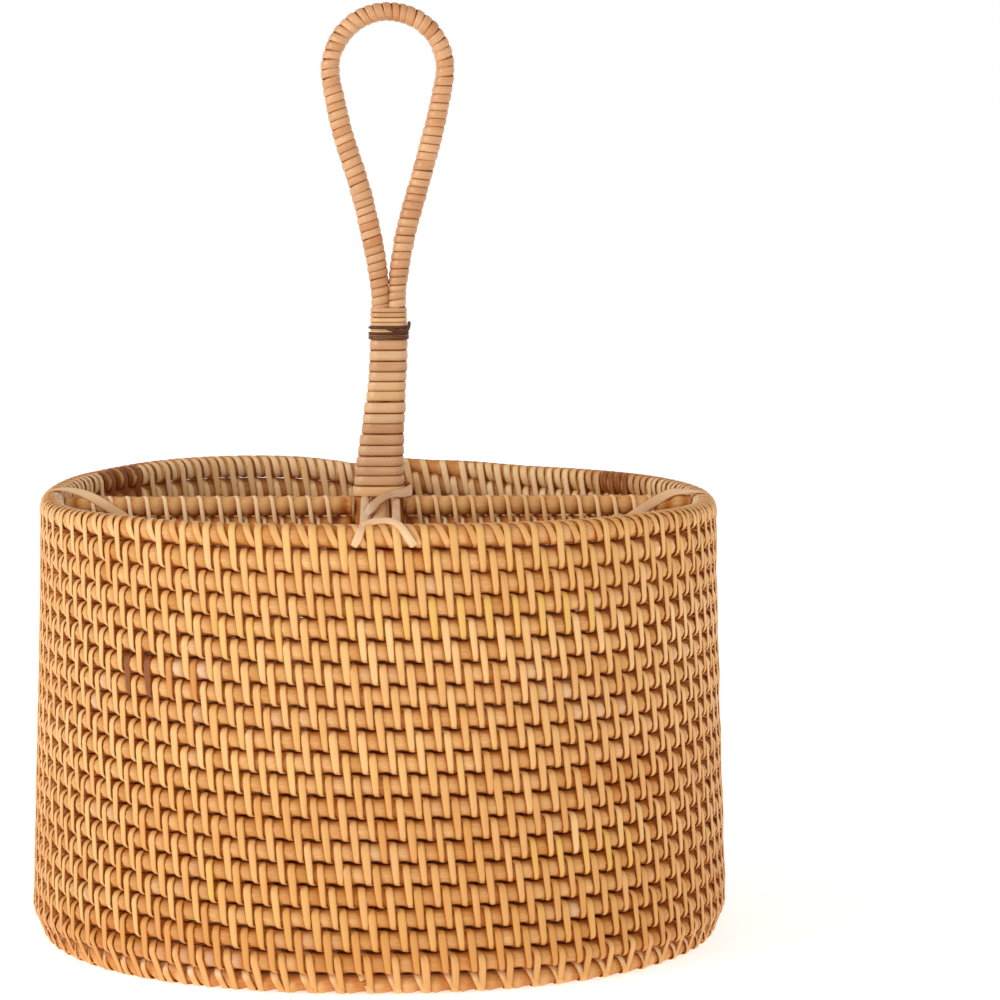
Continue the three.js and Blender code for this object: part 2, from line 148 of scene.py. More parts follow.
class HandleSettings(bpy.types.PropertyGroup):
    """The bent pole and its windings"""

    pole_diameter: length("Pole diameter", "Thickness of the bent pole", 4.4)
    loop_width: length("Loop width", "Width over the bound loop", 39.6)
    neck_height: length("Neck height", "Where the legs meet", 183.4)
    neck_offset: length("Neck offset", "Half the distance between the legs at the neck", 2.35)
    leg_offset: length("Leg offset", "Half the distance between the legs at the foot", 5.38)
    foot_flare: length("Foot flare", "How far each leg springs out below the winding", 0.6)
    side_hollow: length("Side hollow", "How far the loop's sides bend in above the neck", 1.85)
    slimming: share("Slimming", "Share by which the pole is thinner at the top and the neck", 0.13)
    lean: length("Lean", "How far the stem leans to the right", 3.0)
    lean_height: length("Lean height", "Height over which the stem leans", 46.0)
    cane_thickness: length("Cane thickness", "Thickness of the winding", 0.6)
    loop_pitch: length("Loop pitch", "Distance between turns on the loop", 2.45)
    stem_pitch: length("Stem pitch", "Distance between turns on the stem", 3.2)
    neck_pitch: length("Neck pitch", "Distance between turns above the tie", 1.5)
    stem_top: length("Stem top", "Height of the first turn round both legs", 182.6)
    tie_height: length("Tie height", "Height of the dark tie", 175.6)


class TieSettings(bpy.types.PropertyGroup):
    """The strips that hold the handle and the dividers to the rim"""

    width: length("Strip width", "Width of the strips", 2.5)
    thickness: length("Strip thickness", "Thickness of the strips", 0.55)
    splay: length("Splay", "How far a strip spreads as it goes over the rim", 2.8)
    drop: length("Drop", "How far a strip hangs down from the middle of the rim", 0.7)


class FinishSettings(bpy.types.PropertyGroup):
    """Colours of the rattan and cane"""

    peel: colour("Cane peel", "Cane with its shiny skin", "#F3C484")
    peel_shade: colour("Cane peel, darker", "Darker grain of the cane", "#D8984E")
    # Painted light on the stitches' inner sides, and the paleness of strands with a high tone
    faded: colour("Faded cane", "Cane and core gone pale inside the holder", "#FFDCAC")
    golden: colour("Golden cane", "Cane with some of its green left, gone yellow", "#E6B858")
    core: colour("Core", "Bare rattan core", "#EBB777")
    core_shade: colour("Core, darker", "Pores of the core", "#C4843E")
    pale: colour("Pale core", "Bleached stretches of core", "#E6CBAC")
    # Also painted shade: grooves of the core, tucked strips, divider hollows, the pole, strip edges
    brown: colour("Brown stain", "Stained core and cane", "#BE680E")
    # Dark stains, and painted shade in the dividers' hollows and in the rows under their rails
    old_stain: colour("Old stain", "Darkest stains, of core and cane that was wet", "#6E3E26")
    binding: colour("Binding", "Older cane of the handle", "#ECC094")
    binding_shade: colour("Binding, darker", "Darker grain of the handle's cane", "#C48A5A")
    tie: colour("Dark tie", "Smoked cane", "#6A3B1E")
    tie_shade: colour("Dark tie, darker", "Darker grain of the smoked cane", "#3A1D0E")


class HolderSettings(bpy.types.PropertyGroup):
    """All settings of the holder"""

    coil: PointerProperty(type=CoilSettings)
    stitch: PointerProperty(type=StitchSettings)
    divider: PointerProperty(type=DividerSettings)
    handle: PointerProperty(type=HandleSettings)
    tie: PointerProperty(type=TieSettings)
    finish: PointerProperty(type=FinishSettings)


def settings():
    return bpy.context.scene.cutlery_holder


def smoothstep(low, high, value):
    t = np.clip((value - low) / (high - low), 0.0, 1.0)
    return t * t * (3 - 2 * t)


def unit(vectors):
    return vectors / np.maximum(np.linalg.norm(vectors, axis=-1, keepdims=True), 1e-12)


def distances(line):
    """How far along a line each of its points is."""
    steps = np.linalg.norm(np.diff(line, axis=0), axis=1)
    return np.concatenate([[0.0], np.cumsum(steps)])


def points_at(places, along, points):
    """Points between the given ones, at places along them."""
    return np.stack([np.interp(places, along, axis) for axis in points.T], -1)


def resampled(line, step):
    """The same line with points a step apart."""
    along = distances(line)
    return points_at(np.linspace(0, along[-1], max(int(along[-1] / step), 2)), along, line)


def eased(line, rounds):
    """The line with its corners eased and its ends kept."""
    for _ in range(rounds):
        line[1:-1] = (line[:-2] + 2 * line[1:-1] + line[2:]) / 4
    return line


def seeded(name):
    """Random numbers that are the same on every run, and differ from piece to piece."""
    return np.random.default_rng(sum(ord(letter) * place for place, letter in enumerate(name, 1)))


# Meshes

# Corners of a flat strip with a crowned face, as shares of half the width and of the thickness
STRIP_SECTION = np.array(
    [(-1, -0.1), (-0.8, 0.3), (-0.35, 0.5), (0.35, 0.5)]
    + [(0.8, 0.3), (1, -0.1), (0.75, -0.5), (-0.75, -0.5)]
)


def round_section(sides):
    angle = np.arange(sides) * 2 * math.pi / sides
    return np.stack([np.cos(angle), np.sin(angle)], -1)


class Strand:
    """A closed tube or strip: rings of corners, their places in the unbent strand, its colouring.

    section is (rings, corners, 2) in metres. stain_and_painted_light is tone, second colour and
    brown, for each ring or for each corner; tone and brown also hold painted light and shade.
    The second colour is the material's, such as gold on the stitches.
    """

    def __init__(self, path, side, facing, section, stain_and_painted_light, start=0.0):
        along = start + distances(path)
        across, out = section[..., 0], section[..., 1]
        sideways = across[..., None] * side[:, None]
        self.rings = path[:, None] + sideways + out[..., None] * facing[:, None]
        self.grain = np.stack([np.broadcast_to(along[:, None], across.shape), across, out], -1)
        if stain_and_painted_light.ndim == 2:
            stain_and_painted_light = np.broadcast_to(stain_and_painted_light[:, None], (*across.shape, 3))
        self.stain_and_painted_light = stain_and_painted_light


def strand_faces(count, sides):
    """Corner numbers of the four-sided faces, and of the two flat ends."""
    ring = np.arange(count - 1)[:, None] * sides
    corner = np.arange(sides)[None, :]
    after = (corner + 1) % sides
    quads = np.stack([ring + corner, ring + after, ring + sides + after, ring + sides + corner], -1)
    ends = np.stack([np.arange(sides)[::-1], (count - 1) * sides + np.arange(sides)])
    return quads.reshape(-1, 4), ends


def volume_sign(rings):
    """Above zero if the faces of strand_faces turn outwards on these rings."""
    middle = len(rings) // 2
    here, beyond = rings[middle - 1], rings[middle]
    centre = here.mean(0)
    normal = np.cross(here[1] - here[0], beyond[0] - here[0])
    return float(normal @ (here[0] - centre))


def make_piece(name, strands, material, replaced=()):
    """One object made of closed strands. It rides on the body and stands for the replaced nodes."""
    corners, loops, sizes, base = [], [], [], 0
    for strand in strands:
        count, sides = strand.rings.shape[:2]
        quads, ends = strand_faces(count, sides)
        if volume_sign(strand.rings) < 0:
            quads, ends = quads[:, ::-1], ends[:, ::-1]
        loops += [(quads + base).ravel(), (ends + base).ravel()]
        sizes += [np.full(len(quads), 4), np.full(2, sides)]
        corners.append(strand.rings.reshape(-1, 3))
        base += count * sides
    points = np.concatenate(corners)
    loops, sizes = np.concatenate(loops), np.concatenate(sizes)
    mesh = bpy.data.meshes.new(name)
    mesh.vertices.add(len(points))
    mesh.vertices.foreach_set("co", points.astype(np.float32).ravel())
    mesh.loops.add(len(loops))
    mesh.loops.foreach_set("vertex_index", loops.astype(np.int32))
    mesh.polygons.add(len(sizes))
    starts = np.concatenate([[0], np.cumsum(sizes)[:-1]])
    mesh.polygons.foreach_set("loop_start", starts.astype(np.int32))
    mesh.polygons.foreach_set("use_smooth", sizes == 4)
    mesh.update(calc_edges=True)
    for label in ("grain", "stain_and_painted_light"):
        values = np.concatenate([getattr(strand, label).reshape(-1, 3) for strand in strands])
        made = mesh.attributes.new(label, "FLOAT_VECTOR", "POINT")
        made.data.foreach_set("vector", values.astype(np.float32).ravel())
    mesh.materials.append(material)
    piece = bpy.data.objects.new(name, mesh)
    bpy.context.scene.collection.objects.link(piece)
    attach(piece, "root")
    if replaced:
        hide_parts(*replaced)


# The coil

def flat_radius():
    """Half the core's thickness."""
    return settings().coil.core_diameter / 2


def stand_height():
    """Height of the core in the base, which leaves room for the cane under it."""
    return flat_radius() + settings().stitch.thickness


def wall_radii():
    coil = settings().coil
    return coil.body_width / 2 - flat_radius(), coil.rim_width / 2 - flat_radius()


def rim_height():
    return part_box("rim_rod")[1][2] - settings().coil.rim_diameter / 2


def rim_level():
    coil = settings().coil
    return coil.base_turns + coil.wall_rows - 1


def outline(turns):
    """Points of the unit plan and the directions outwards."""
    angle = (turns - 0.25) * 2 * math.pi
    power = 2 / settings().coil.squareness
    point = np.stack([np.cos(angle), np.sin(angle), np.zeros_like(angle)], -1)
    point = np.sign(point) * np.abs(point) ** power
    outward = unit(np.sign(point) * np.abs(point) ** (settings().coil.squareness - 1))
    return point, outward


# Rows under the rim at which the rows' sag is half grown, and over which it then dies away
SAG_GROWS, SAG_FADES = 0.6, 6


def level_place(level):
    """Radius and height of a level: the base's turns come first, then the wall's rows."""
    coil = settings().coil
    foot, rim = wall_radii()
    edge = foot - coil.corner_inset
    last = coil.base_turns - 1
    first_row = stand_height() + coil.corner_rise
    row = (level - coil.base_turns) / (coil.wall_rows - 1)
    on_base = level < coil.base_turns
    radius = np.where(
        on_base,
        coil.start_radius + (edge - coil.start_radius) * level / last,
        foot + (rim - foot) * row,
    )
    below = np.maximum(rim_level() - level, 0)
    sag = coil.row_sag * below / (below + SAG_GROWS) * np.exp(-below / SAG_FADES)
    height = np.where(on_base, stand_height(), first_row + (rim_height() - first_row) * row - sag)
    return radius, height


def climb(turns, level):
    """How far a turn has moved on to the next level."""
    coil = settings().coil
    done = turns - level
    half = coil.climb_share / 2
    change = smoothstep(0.5 - half, 0.5 + half, done)
    steady = np.clip(level / (coil.base_turns - 1), 0, 1)
    return done + (change - done) * steady


# How far the rim rises or falls at shares of a turn from the front, in millimetres
RIM_LEVELS = np.array(
    [(0, 1.0), (0.12, 0.5), (0.25, -1.2), (0.42, -1.7), (0.47, -0.5), (0.54, 3.1), (0.6, 2.6)]
    + [(0.68, 1.4), (0.75, 0.3), (0.8, -0.3), (0.88, 0.6), (1, 1.0)]
)


def lift(turns):
    """The rim rises at the back left and sinks at the back right; the rows below follow it less."""
    coil = settings().coil
    shares, levels = RIM_LEVELS.T
    place = np.interp(turns - np.floor(turns), shares, np.arange(len(shares)))
    left = np.minimum(place.astype(int), len(levels) - 2)
    level = levels[left] + (levels[left + 1] - levels[left]) * smoothstep(0.0, 1.0, place - left)
    row = np.clip((turns - coil.base_turns) / coil.wall_rows, 0, 1)
    return coil.rim_lift * row**3 * level * MM


# Waves to a turn in which the hand-laid rows stray
STRAY_WAVES = (1.7, 3.3, 5.9, 9.7)


def waver(turns):
    """Slow strays of the hand-laid rows, out of line and up or down."""
    coil = settings().coil
    rng = seeded("waver")
    wall = smoothstep(coil.base_turns - 1, coil.base_turns + 1, turns)
    strays = []
    for _ in range(2):
        total = np.zeros_like(turns)
        for waves in STRAY_WAVES:
            total = total + np.sin(2 * math.pi * (waves * turns + rng.random())) / waves**0.5
        strays.append(total * coil.waver * 0.5 * wall)
    return strays


# Least share of its thickness to which the coil's end tapers
TAIL_SHARE = 0.25


def coil_line(turns):
    """Centre of the core, the direction outwards, and its thickness as a share of plain core's.

    The top rows are of thicker core, and the last length tapers over the row that climbs under it.
    """
    coil = settings().coil
    top = rim_level()
    level = np.minimum(np.floor(turns), top)
    radius, height = level_place(level)
    next_radius, next_height = level_place(level + 1)
    risen = climb(turns, level)
    done = np.where(level < top, risen, 0.0)
    out_stray, up_stray = waver(turns)
    radius = radius + (next_radius - radius) * done + out_stray
    height = height + (next_height - height) * done + lift(turns) + up_stray * 0.5
    point, outward = outline(turns)
    centre = point * radius[..., None]
    pitch = (rim_height() - stand_height()) / coil.wall_rows
    tapered = np.clip(1 - risen * pitch / coil.core_diameter, TAIL_SHARE, 1)
    left = np.where(level < top, 1.0, tapered)
    thicker = coil.rim_diameter / coil.core_diameter - 1
    size = left * (1 + thicker * smoothstep(top - 3.5, top - 1.5, turns))
    centre[..., 2] = height + (1 - left) * flat_radius()
    return centre, outward, size


# Places to a turn in the table of stitches
TABLE_PLACES = 600

# Wall row whose length sets the number of stitches in every row
TYPICAL_ROW = 12.0


def stitch_table():
    """Turns, and the number of stitches made up to each of them."""
    coil, stitch = settings().coil, settings().stitch
    turns = np.linspace(0, rim_level() + 1, (rim_level() + 1) * TABLE_PLACES + 1)
    point, _ = outline(turns)
    level = np.floor(turns)
    up = turns - level
    back = smoothstep(0.27, 0.42, up) * (1 - smoothstep(0.58, 0.73, up))
    pitch = stitch.front_pitch + (stitch.back_pitch - stitch.front_pitch) * back
    base = level < coil.base_turns
    radius, _ = level_place(np.where(base, level, coil.base_turns + TYPICAL_ROW))
    step = np.linalg.norm(np.diff(point, axis=0), axis=1) * radius[1:]
    made = step / np.where(base, stitch.front_pitch, pitch)[1:]
    wall = ~base[1:]
    each = made[wall].sum() / coil.wall_rows
    made[wall] *= (math.floor(each) + stitch.row_shift) / each
    return turns, np.concatenate([[0.0], np.cumsum(made)])


# Places round a stitch's loop: the share of the way from the upper rod to the lower, and the angle
OUTER_LEG = [(0, 90), (0, 72), (0, 54), (0, 36), (0, 18), (0, 0), (0.25, 0), (0.5, 0), (0.75, 0)]
OUTER_LEG += [(1, 0), (1, -18), (1, -36), (1, -54), (1, -72), (1, -90)]
INNER_LEG = [(1, -116), (1, -142), (1, -168), (0.67, 180), (0.33, 180)]
INNER_LEG += [(0, 168), (0, 142), (0, 116)]
TWO_ROD_LOOP = np.array(OUTER_LEG + INNER_LEG, float)
ONE_ROD_LOOP = np.array([(0, 90 - 24 * step) for step in range(15)], float)

# Share of a stitch that the strip moves on while it crosses over and under the rods
CROSSING = 0.2

# Exponent of the strip's way round a rod, 2 for a circle: stiff cane stands off at the corners
SQUARED = 2.7

# Degrees round a rod over which half of a crossing is made
HALF_CROSSING = 32.0

# Degrees round a rod that count as the way from one rod's middle to the next one's
BETWEEN_RODS = 117

# Distance from the core to the middle of a strip pressed on it, as a share of its thickness
SEATED = 0.36

# Least room between a strip and the floor
FLOOR_GAP = 0.19 * MM

# Metres by which the grain of each strip is moved on from the last one's
GRAIN_SHIFT = 0.731


def advance_round(loop, lean):
    """How far along, as a share of a stitch, the strip is at each place of its loop."""
    turned = np.cumsum(np.concatenate([[0.0], np.hypot(*unwrapped_steps(loop).T)]))
    round_loop = turned[-1] + np.hypot(*unwrapped_steps(np.array([loop[-1], loop[0]]))[0])
    run = round_loop / 2 - 2 * HALF_CROSSING
    knots = np.cumsum([0, HALF_CROSSING, run, 2 * HALF_CROSSING, run, HALF_CROSSING])
    gains = np.cumsum([0, CROSSING / 2, lean, CROSSING, 1 - lean - 2 * CROSSING, CROSSING / 2])
    return np.interp(turned, knots, gains)


def unwrapped_steps(loop):
    """Steps from place to place, the way between the rods counted in degrees round a rod."""
    degrees = (np.diff(loop[:, 1]) + 180) % 360 - 180
    return np.stack([degrees, np.diff(loop[:, 0]) * BETWEEN_RODS], -1)


def strip_runs(count, rng):
    """For each stitch, the number of the cane strip that it is part of."""
    stitch = settings().stitch
    sizes = rng.integers(stitch.strip_shortest, stitch.strip_longest + 1, count)
    return np.repeat(np.arange(count), sizes)[:count]


# Runs that stand out: what is stained, wall row from the bottom, first and last share of a turn
# from the front, and how strongly
STANDING_OUT = (
    ("gold", 16, -0.015, 0.016, 0.5),
    ("gold", 16, 0.016, 0.105, 0.75),
    ("gold", 5, 0.060, 0.120, 0.65),
    ("gold", 4, -0.085, -0.060, 0.7),
    ("gold", 15, -0.070, -0.035, 0.45),
    ("brown", 13, -0.130, -0.098, 1.75),
    ("brown", 13, -0.098, -0.070, 0.7),
    ("brown", 2, -0.100, -0.070, 0.5),
    ("brown", 18, 0.634, 0.664, 1.7),
    ("brown", 17, 0.637, 0.661, 1.4),
    ("brown", 19, 0.318, 0.376, 0.55),
    ("brown", 19, 0.337, 0.364, 1.5),
)


def handled(turns):
    """Painted shade: how much darker the wall's lower rows are, where less light reaches them."""
    row = turns - settings().coil.base_turns
    return 1.1 * smoothstep(11.0, 1.0, row) * smoothstep(-1.0, 0.0, row)


def stained(turns, tone, gold, brown):
    """Tone, gold and brown of strips at these turns, with the runs that stand out."""
    coil = settings().coil
    for kind, row, first, last, strength in STANDING_OUT:
        here = (turns > coil.base_turns + row + first) & (turns < coil.base_turns + row + last)
        if kind == "gold":
            gold = np.where(here, strength, gold)
        else:
            brown = np.where(here, strength, brown)
    return np.stack([tone, gold, brown], -1)


def stitch_strand(first, last, loop, lean, name, offset=0.0, width_share=1.0):
    """One unbroken strip that stitches the coil from one count of stitches to another."""
    stitch = settings().stitch
    rng = seeded(name)
    turns_table, made_table = stitch_table()
    count = last - first
    stray = rng.normal(0, 0.028, count + 1)
    wide = 1 + rng.normal(0, 0.07, count + 1)
    runs = strip_runs(count, rng)
    tone = rng.normal(0, 0.5, runs[-1] + 1)[runs] + rng.normal(0, 0.22, count)
    gold = np.clip(rng.normal(0.0, 0.12, runs[-1] + 1), 0, 0.2)[runs]
    brown = np.clip(rng.normal(-0.3, 0.25, runs[-1] + 1), 0, 0.4)[runs]
    on = advance_round(loop, lean)
    number = np.arange(count)
    made = first + offset + number[:, None] + on
    made = made + stray[:-1, None] * (1 - on) + stray[1:, None] * on
    turns = np.interp(made, made_table, turns_table)
    upper, outward, size = coil_line(turns)
    lower, _, lower_size = coil_line(np.maximum(turns - 1, 0))
    gap = upper - lower
    across = (gap * outward).sum(-1)
    length_between = np.maximum(np.hypot(across, gap[..., 2]), 1e-6)
    rise = (across[..., None] * outward + gap[..., 2:] * UP) / length_between[..., None]
    out = (gap[..., 2:] * outward - across[..., None] * UP) / length_between[..., None]
    down, angle = loop[:, 0][None, :], np.radians(loop[:, 1])[None, :]
    facing = np.cos(angle)[..., None] * out + np.sin(angle)[..., None] * rise
    core = flat_radius() * (size * (1 - down) + lower_size * down)
    upright = np.abs(np.sin(angle))
    squared = (np.abs(np.cos(angle)) ** SQUARED + upright**SQUARED) ** (-1 / SQUARED)
    reach = (core + stitch.thickness * SEATED) * squared
    centre = upper - (down * length_between)[..., None] * rise
    path = (centre + reach[..., None] * facing).reshape(-1, 3)
    path[:, 2] = np.maximum(path[:, 2], stitch.thickness / 2 + FLOOR_GAP)
    taper = 1.06 - 0.06 * upright - 0.15 * down * (1 + upright)
    width = stitch.width * width_share * taper
    width = width * (wide[:-1, None] * (1 - on) + wide[1:, None] * on)
    # Painted shade darkens the lower rows of the wall
    tone = tone - handled(turns[:, 0])
    stain_and_painted_light = np.repeat(stained(turns[:, 0], tone, gold, brown), len(on), axis=0)

    # Painted shade browns the strip where it tucks between rows, painted light pales its inner side
    tucked_shade = upright**6 * 0.35
    faded = 3.0 * smoothstep(0.3, -0.5, np.cos(angle))
    stain_and_painted_light[:, 2] += np.broadcast_to(tucked_shade, (count, len(on))).ravel()
    stain_and_painted_light[:, 0] += np.broadcast_to(faded, (count, len(on))).ravel()
    return flat_strand(path, facing.reshape(-1, 3), width.ravel(), stitch.thickness, stain_and_painted_light, runs)


def flat_strand(path, facing, width, thickness, stain_and_painted_light, runs=None):
    """A flat strip along a path, facing outwards, crowned on its outer side."""
    along = unit(np.gradient(path, axis=0))
    side = unit(np.cross(along, facing))
    facing = unit(np.cross(side, along))
    scale = np.stack([width / 2, np.broadcast_to(thickness, width.shape)], -1)
    section = STRIP_SECTION[None] * scale[:, None]
    strand = Strand(path, side, facing, section, stain_and_painted_light)
    if runs is not None:
        places = len(path) // len(runs)
        strand.grain[..., 0] += np.repeat(runs, places)[:, None] * GRAIN_SHIFT
    return strand


def ring_facings(turns, ring):
    """How far each corner of the ring faces out of the weave and on to the next row, at each turn.

    In the wall that is outwards and up. In the base, whose outside is the underside, it is down and
    outwards. The third value is the share of base.
    """
    coil = settings().coil
    flat = 1 - smoothstep(coil.base_turns - 1.3, coil.base_turns - 0.7, turns)[:, None]
    out = ring[None, :, 0] * (1 - flat) - ring[None, :, 1] * flat
    onward = ring[None, :, 1] * (1 - flat) + ring[None, :, 0] * flat
    return out, onward, flat


def swelling(turns, out, onward):
    """How far the core swells between the stitches, at each turn and each corner of its ring."""
    stitch = settings().stitch
    turns_table, made_table = stitch_table()
    made = np.interp(turns, turns_table, made_table)
    own = CROSSING / 2 + stitch.lean / 4
    arriving = 1 - stitch.row_shift + CROSSING / 2 + stitch.lean * 3 / 4
    phase = (made[:, None] + 0.25 * stitch.lean * onward) % 1
    off = (phase - (own + arriving) / 2 + 0.5) % 1 - 0.5
    outside = np.clip(1 - np.abs(off / 0.225) ** 2.6, 0, 1)
    inside = np.clip(1 - np.abs(((phase - 0.45) % 1 - 0.5) / 0.2) ** 2, 0, 1)
    faces_out = smoothstep(-0.3, 0.3, out)
    return outside * faces_out + inside * (1 - faces_out)


# Stretches of core with a colour of their own: wall row, first and last share of a turn from the
# front, then how pale and how brown
CORE_STRETCHES = (
    (13, -0.095, -0.065, 0.5, 0.0),
    (12, 0.068, 0.092, 0.45, 0.0),
    (11, 0.085, 0.120, 0.4, 0.0),
    (8, 0.08, 0.20, 0.0, 0.45),
    (7, 0.09, 0.21, 0.0, 0.4),
    (1, -0.16, -0.04, 0.0, 0.35),
    (0, -0.15, -0.05, 0.0, 0.3),
    (18, 0.0, 0.02, 0.0, 0.35),
)


def patchy(turns, patches, rng, middle, spread):
    """A value that drifts along the core, with a number of patches to a turn."""
    count = int((turns[-1] - turns[0]) * patches) + 2
    places = np.linspace(turns[0], turns[-1], count)
    return np.interp(turns, places, rng.normal(middle, spread, count))


def core_strand(start, end, steps, sides, name):
    """The round core from one turn of the coil to another, with that many rings to a turn."""
    coil = settings().coil
    rng = seeded(name)
    count = max(int((end - start) * steps), 8)
    turns = np.linspace(start, end, count)
    centre, outward, size = coil_line(turns)
    ring = round_section(sides)
    behind = 1 - smoothstep(0.18, 0.26, np.abs(turns - np.floor(turns) - 0.5))[:, None]
    out, onward, flat = ring_facings(turns, ring)
    upright = np.abs(onward) ** 3
    swollen = swelling(turns, out, onward)
    inner = smoothstep(0.1, -0.25, out)

    # Where the core swells it thins towards its neighbours, less so behind and inside
    sideways = 1 - (1.15 - 0.5 * behind + 0.85 * (1 - inner)) * upright
    radius = flat_radius() * size[:, None] + (coil.pillow * swollen - coil.pinch) * sideways

    # Behind and inside it is pressed on its neighbours, and most of all in the last two turns
    closed = np.maximum(behind, inner) * upright
    in_top_rows = (turns > rim_level() - 1.5)[:, None]
    has_neighbour = (turns < rim_level() - 0.5)[:, None] | (ring[None, :, 1] < 0)
    radius = radius + coil.closing * closed * (1 + 0.5 * in_top_rows * has_neighbour)

    # In the base it reaches just over halfway to the turns beside it
    to_next = ((coil_line(turns + 1)[0] - centre) * outward).sum(-1)
    to_last = ((centre - coil_line(np.maximum(turns - 1, 0))[0]) * outward).sum(-1)
    halfway = np.where(onward > 0, to_next[:, None], to_last[:, None]) / 2 + 0.05 * MM
    touching = np.maximum(radius, halfway / np.maximum(np.abs(onward), 0.5))
    radius = radius + (touching - radius) * flat * upright
    section = ring[None] * radius[..., None]

    # Painted shade darkens the lower rows of the wall
    tone = patchy(turns, 70, rng, 0.1, 0.7) - handled(turns)
    pale = np.clip(patchy(turns, 50, rng, -0.28, 0.3), 0, 0.5)
    brown = np.clip(patchy(turns, 40, rng, -0.3, 0.28), 0, 0.6)
    for row, first, last, how_pale, how_brown in CORE_STRETCHES:
        middle = coil.base_turns + row + (first + last) / 2
        near = 1 - smoothstep(0.4, 0.6, np.abs(turns - middle) / (last - first))
        pale = np.maximum(pale, near * how_pale)
        brown = np.maximum(brown, near * how_brown)

    # Painted shade browns the core under the stitches, where rows meet, inside and on the rim
    painted_shade = (0.3 + 0.5 * (1 - inner)) * (1 - swollen)
    painted_shade = painted_shade + (0.65 - 0.15 * inner) * onward**4 + 0.12 * inner
    painted_shade = painted_shade + 0.2 * (1 - inner) * (turns[:, None] > rim_level() - 0.5)
    browned = np.minimum(brown[:, None] + painted_shade, 1.0)
    stain_and_painted_light = np.stack(np.broadcast_arrays(tone[:, None], pale[:, None], browned), -1)
    upwards = np.broadcast_to(UP, centre.shape)
    return Strand(centre, outward, upwards, section, stain_and_painted_light, rng.random())


# Dividers

def divider_rows():
    """Heights of a divider's rods from the lowest, the rail last."""
    coil = settings().coil
    low = stand_height() + flat_radius() + settings().stitch.thickness
    rod = settings().divider.rod_diameter / 2
    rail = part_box("rail_front_back")[1][2] - rod
    return np.linspace(low + rod, rail, coil.wall_rows)


def wall_inside(height):
    """Distance from the middle to the cane inside the wall, on the axes."""
    foot, rim = wall_radii()
    low = stand_height() + settings().coil.corner_rise
    climbed = (height - low) / (rim_height() - low)
    return foot + (rim - foot) * climbed - flat_radius() - settings().stitch.thickness


def divider_strands(near, direction, name):
    """Stacked rods, and the strips that bind each to the one below, out to the wall.

    They begin at near, or at the wall on the other side where it is None.
    """
    divider = settings().divider
    rng = seeded(name)
    direction = np.array(direction, float)
    side = np.cross(direction, UP)
    heights = divider_rows()
    rod = divider.rod_diameter / 2
    ring = round_section(12)
    leg = OWN_LEGS[1] + (OWN_LEGS[0] - OWN_LEGS[1]) * smoothstep(-0.2, 0.2, ring[:, 0])
    rods, strips = [], []
    for row, height in enumerate(heights):
        is_rail = row == len(heights) - 1
        end = wall_inside(height) - divider.end_gap
        begin = near if near is not None else -end
        count = int((end - begin) / (divider.strip_pitch * 0.125))
        along = np.linspace(begin, end, count)
        is_bound = row > 0 and not (is_rail and near is None)
        phase = ((along[:, None] - begin) / divider.strip_pitch - first_strip(row) - leg) % 1
        swell = np.clip(1 - (np.abs(phase - 0.5) / 0.42) ** 1.7, 0, 1) * is_bound
        stray = rng.normal(0, 0.00012, 2)
        path = along[:, None] * direction + height * UP + stray[0] * side
        bulge = settings().coil.pillow * swell * (0.3 + 0.7 * np.abs(ring[:, 0]))[None, :]
        section = ring[None] * (rod + bulge)[..., None]
        tone = np.full((count, 1), rng.normal(0.3, 0.4))
        # Painted shade: browner in the hollows by the strips, underneath and below the rail
        hollow = 1.05 * (1 - swell) * is_bound
        painted_shade = hollow + 0.6 * np.clip(-ring[:, 1], 0, 1) ** 2 + (0.0 if is_rail else 0.75)
        stain_and_painted_light = np.stack(np.broadcast_arrays(tone, 0.0, painted_shade), -1)
        wide, upwards = np.broadcast_to(side, path.shape), np.broadcast_to(UP, path.shape)
        rods.append(Strand(path, wide, upwards, section, stain_and_painted_light, rng.random()))
        if is_bound:
            pair = heights[row - 1 : row + 1]
            strips.append(divider_strip(begin, end, pair, row, direction, side, rng))
    return rods, strips


# Share of a stitch that a divider's strip has moved on where it lies on either side of its
# upper rod
OWN_LEGS = (0.15, 0.85)


def first_strip(row):
    """Where a row's first strip starts, in stitches from the rod's end."""
    return 0.4 + 0.9 * ((0.427 * row) % 1)


# Places round the loop of a divider's strip, given as a stitch's are
DIVIDER_LOOP = np.array(
    [(0, 90), (0, 50), (0, 10), (0.5, 0), (1, -10), (1, -50), (1, -90), (1, -130), (1, -170)]
    + [(0.5, 180), (0, 170), (0, 130)],
    float,
)


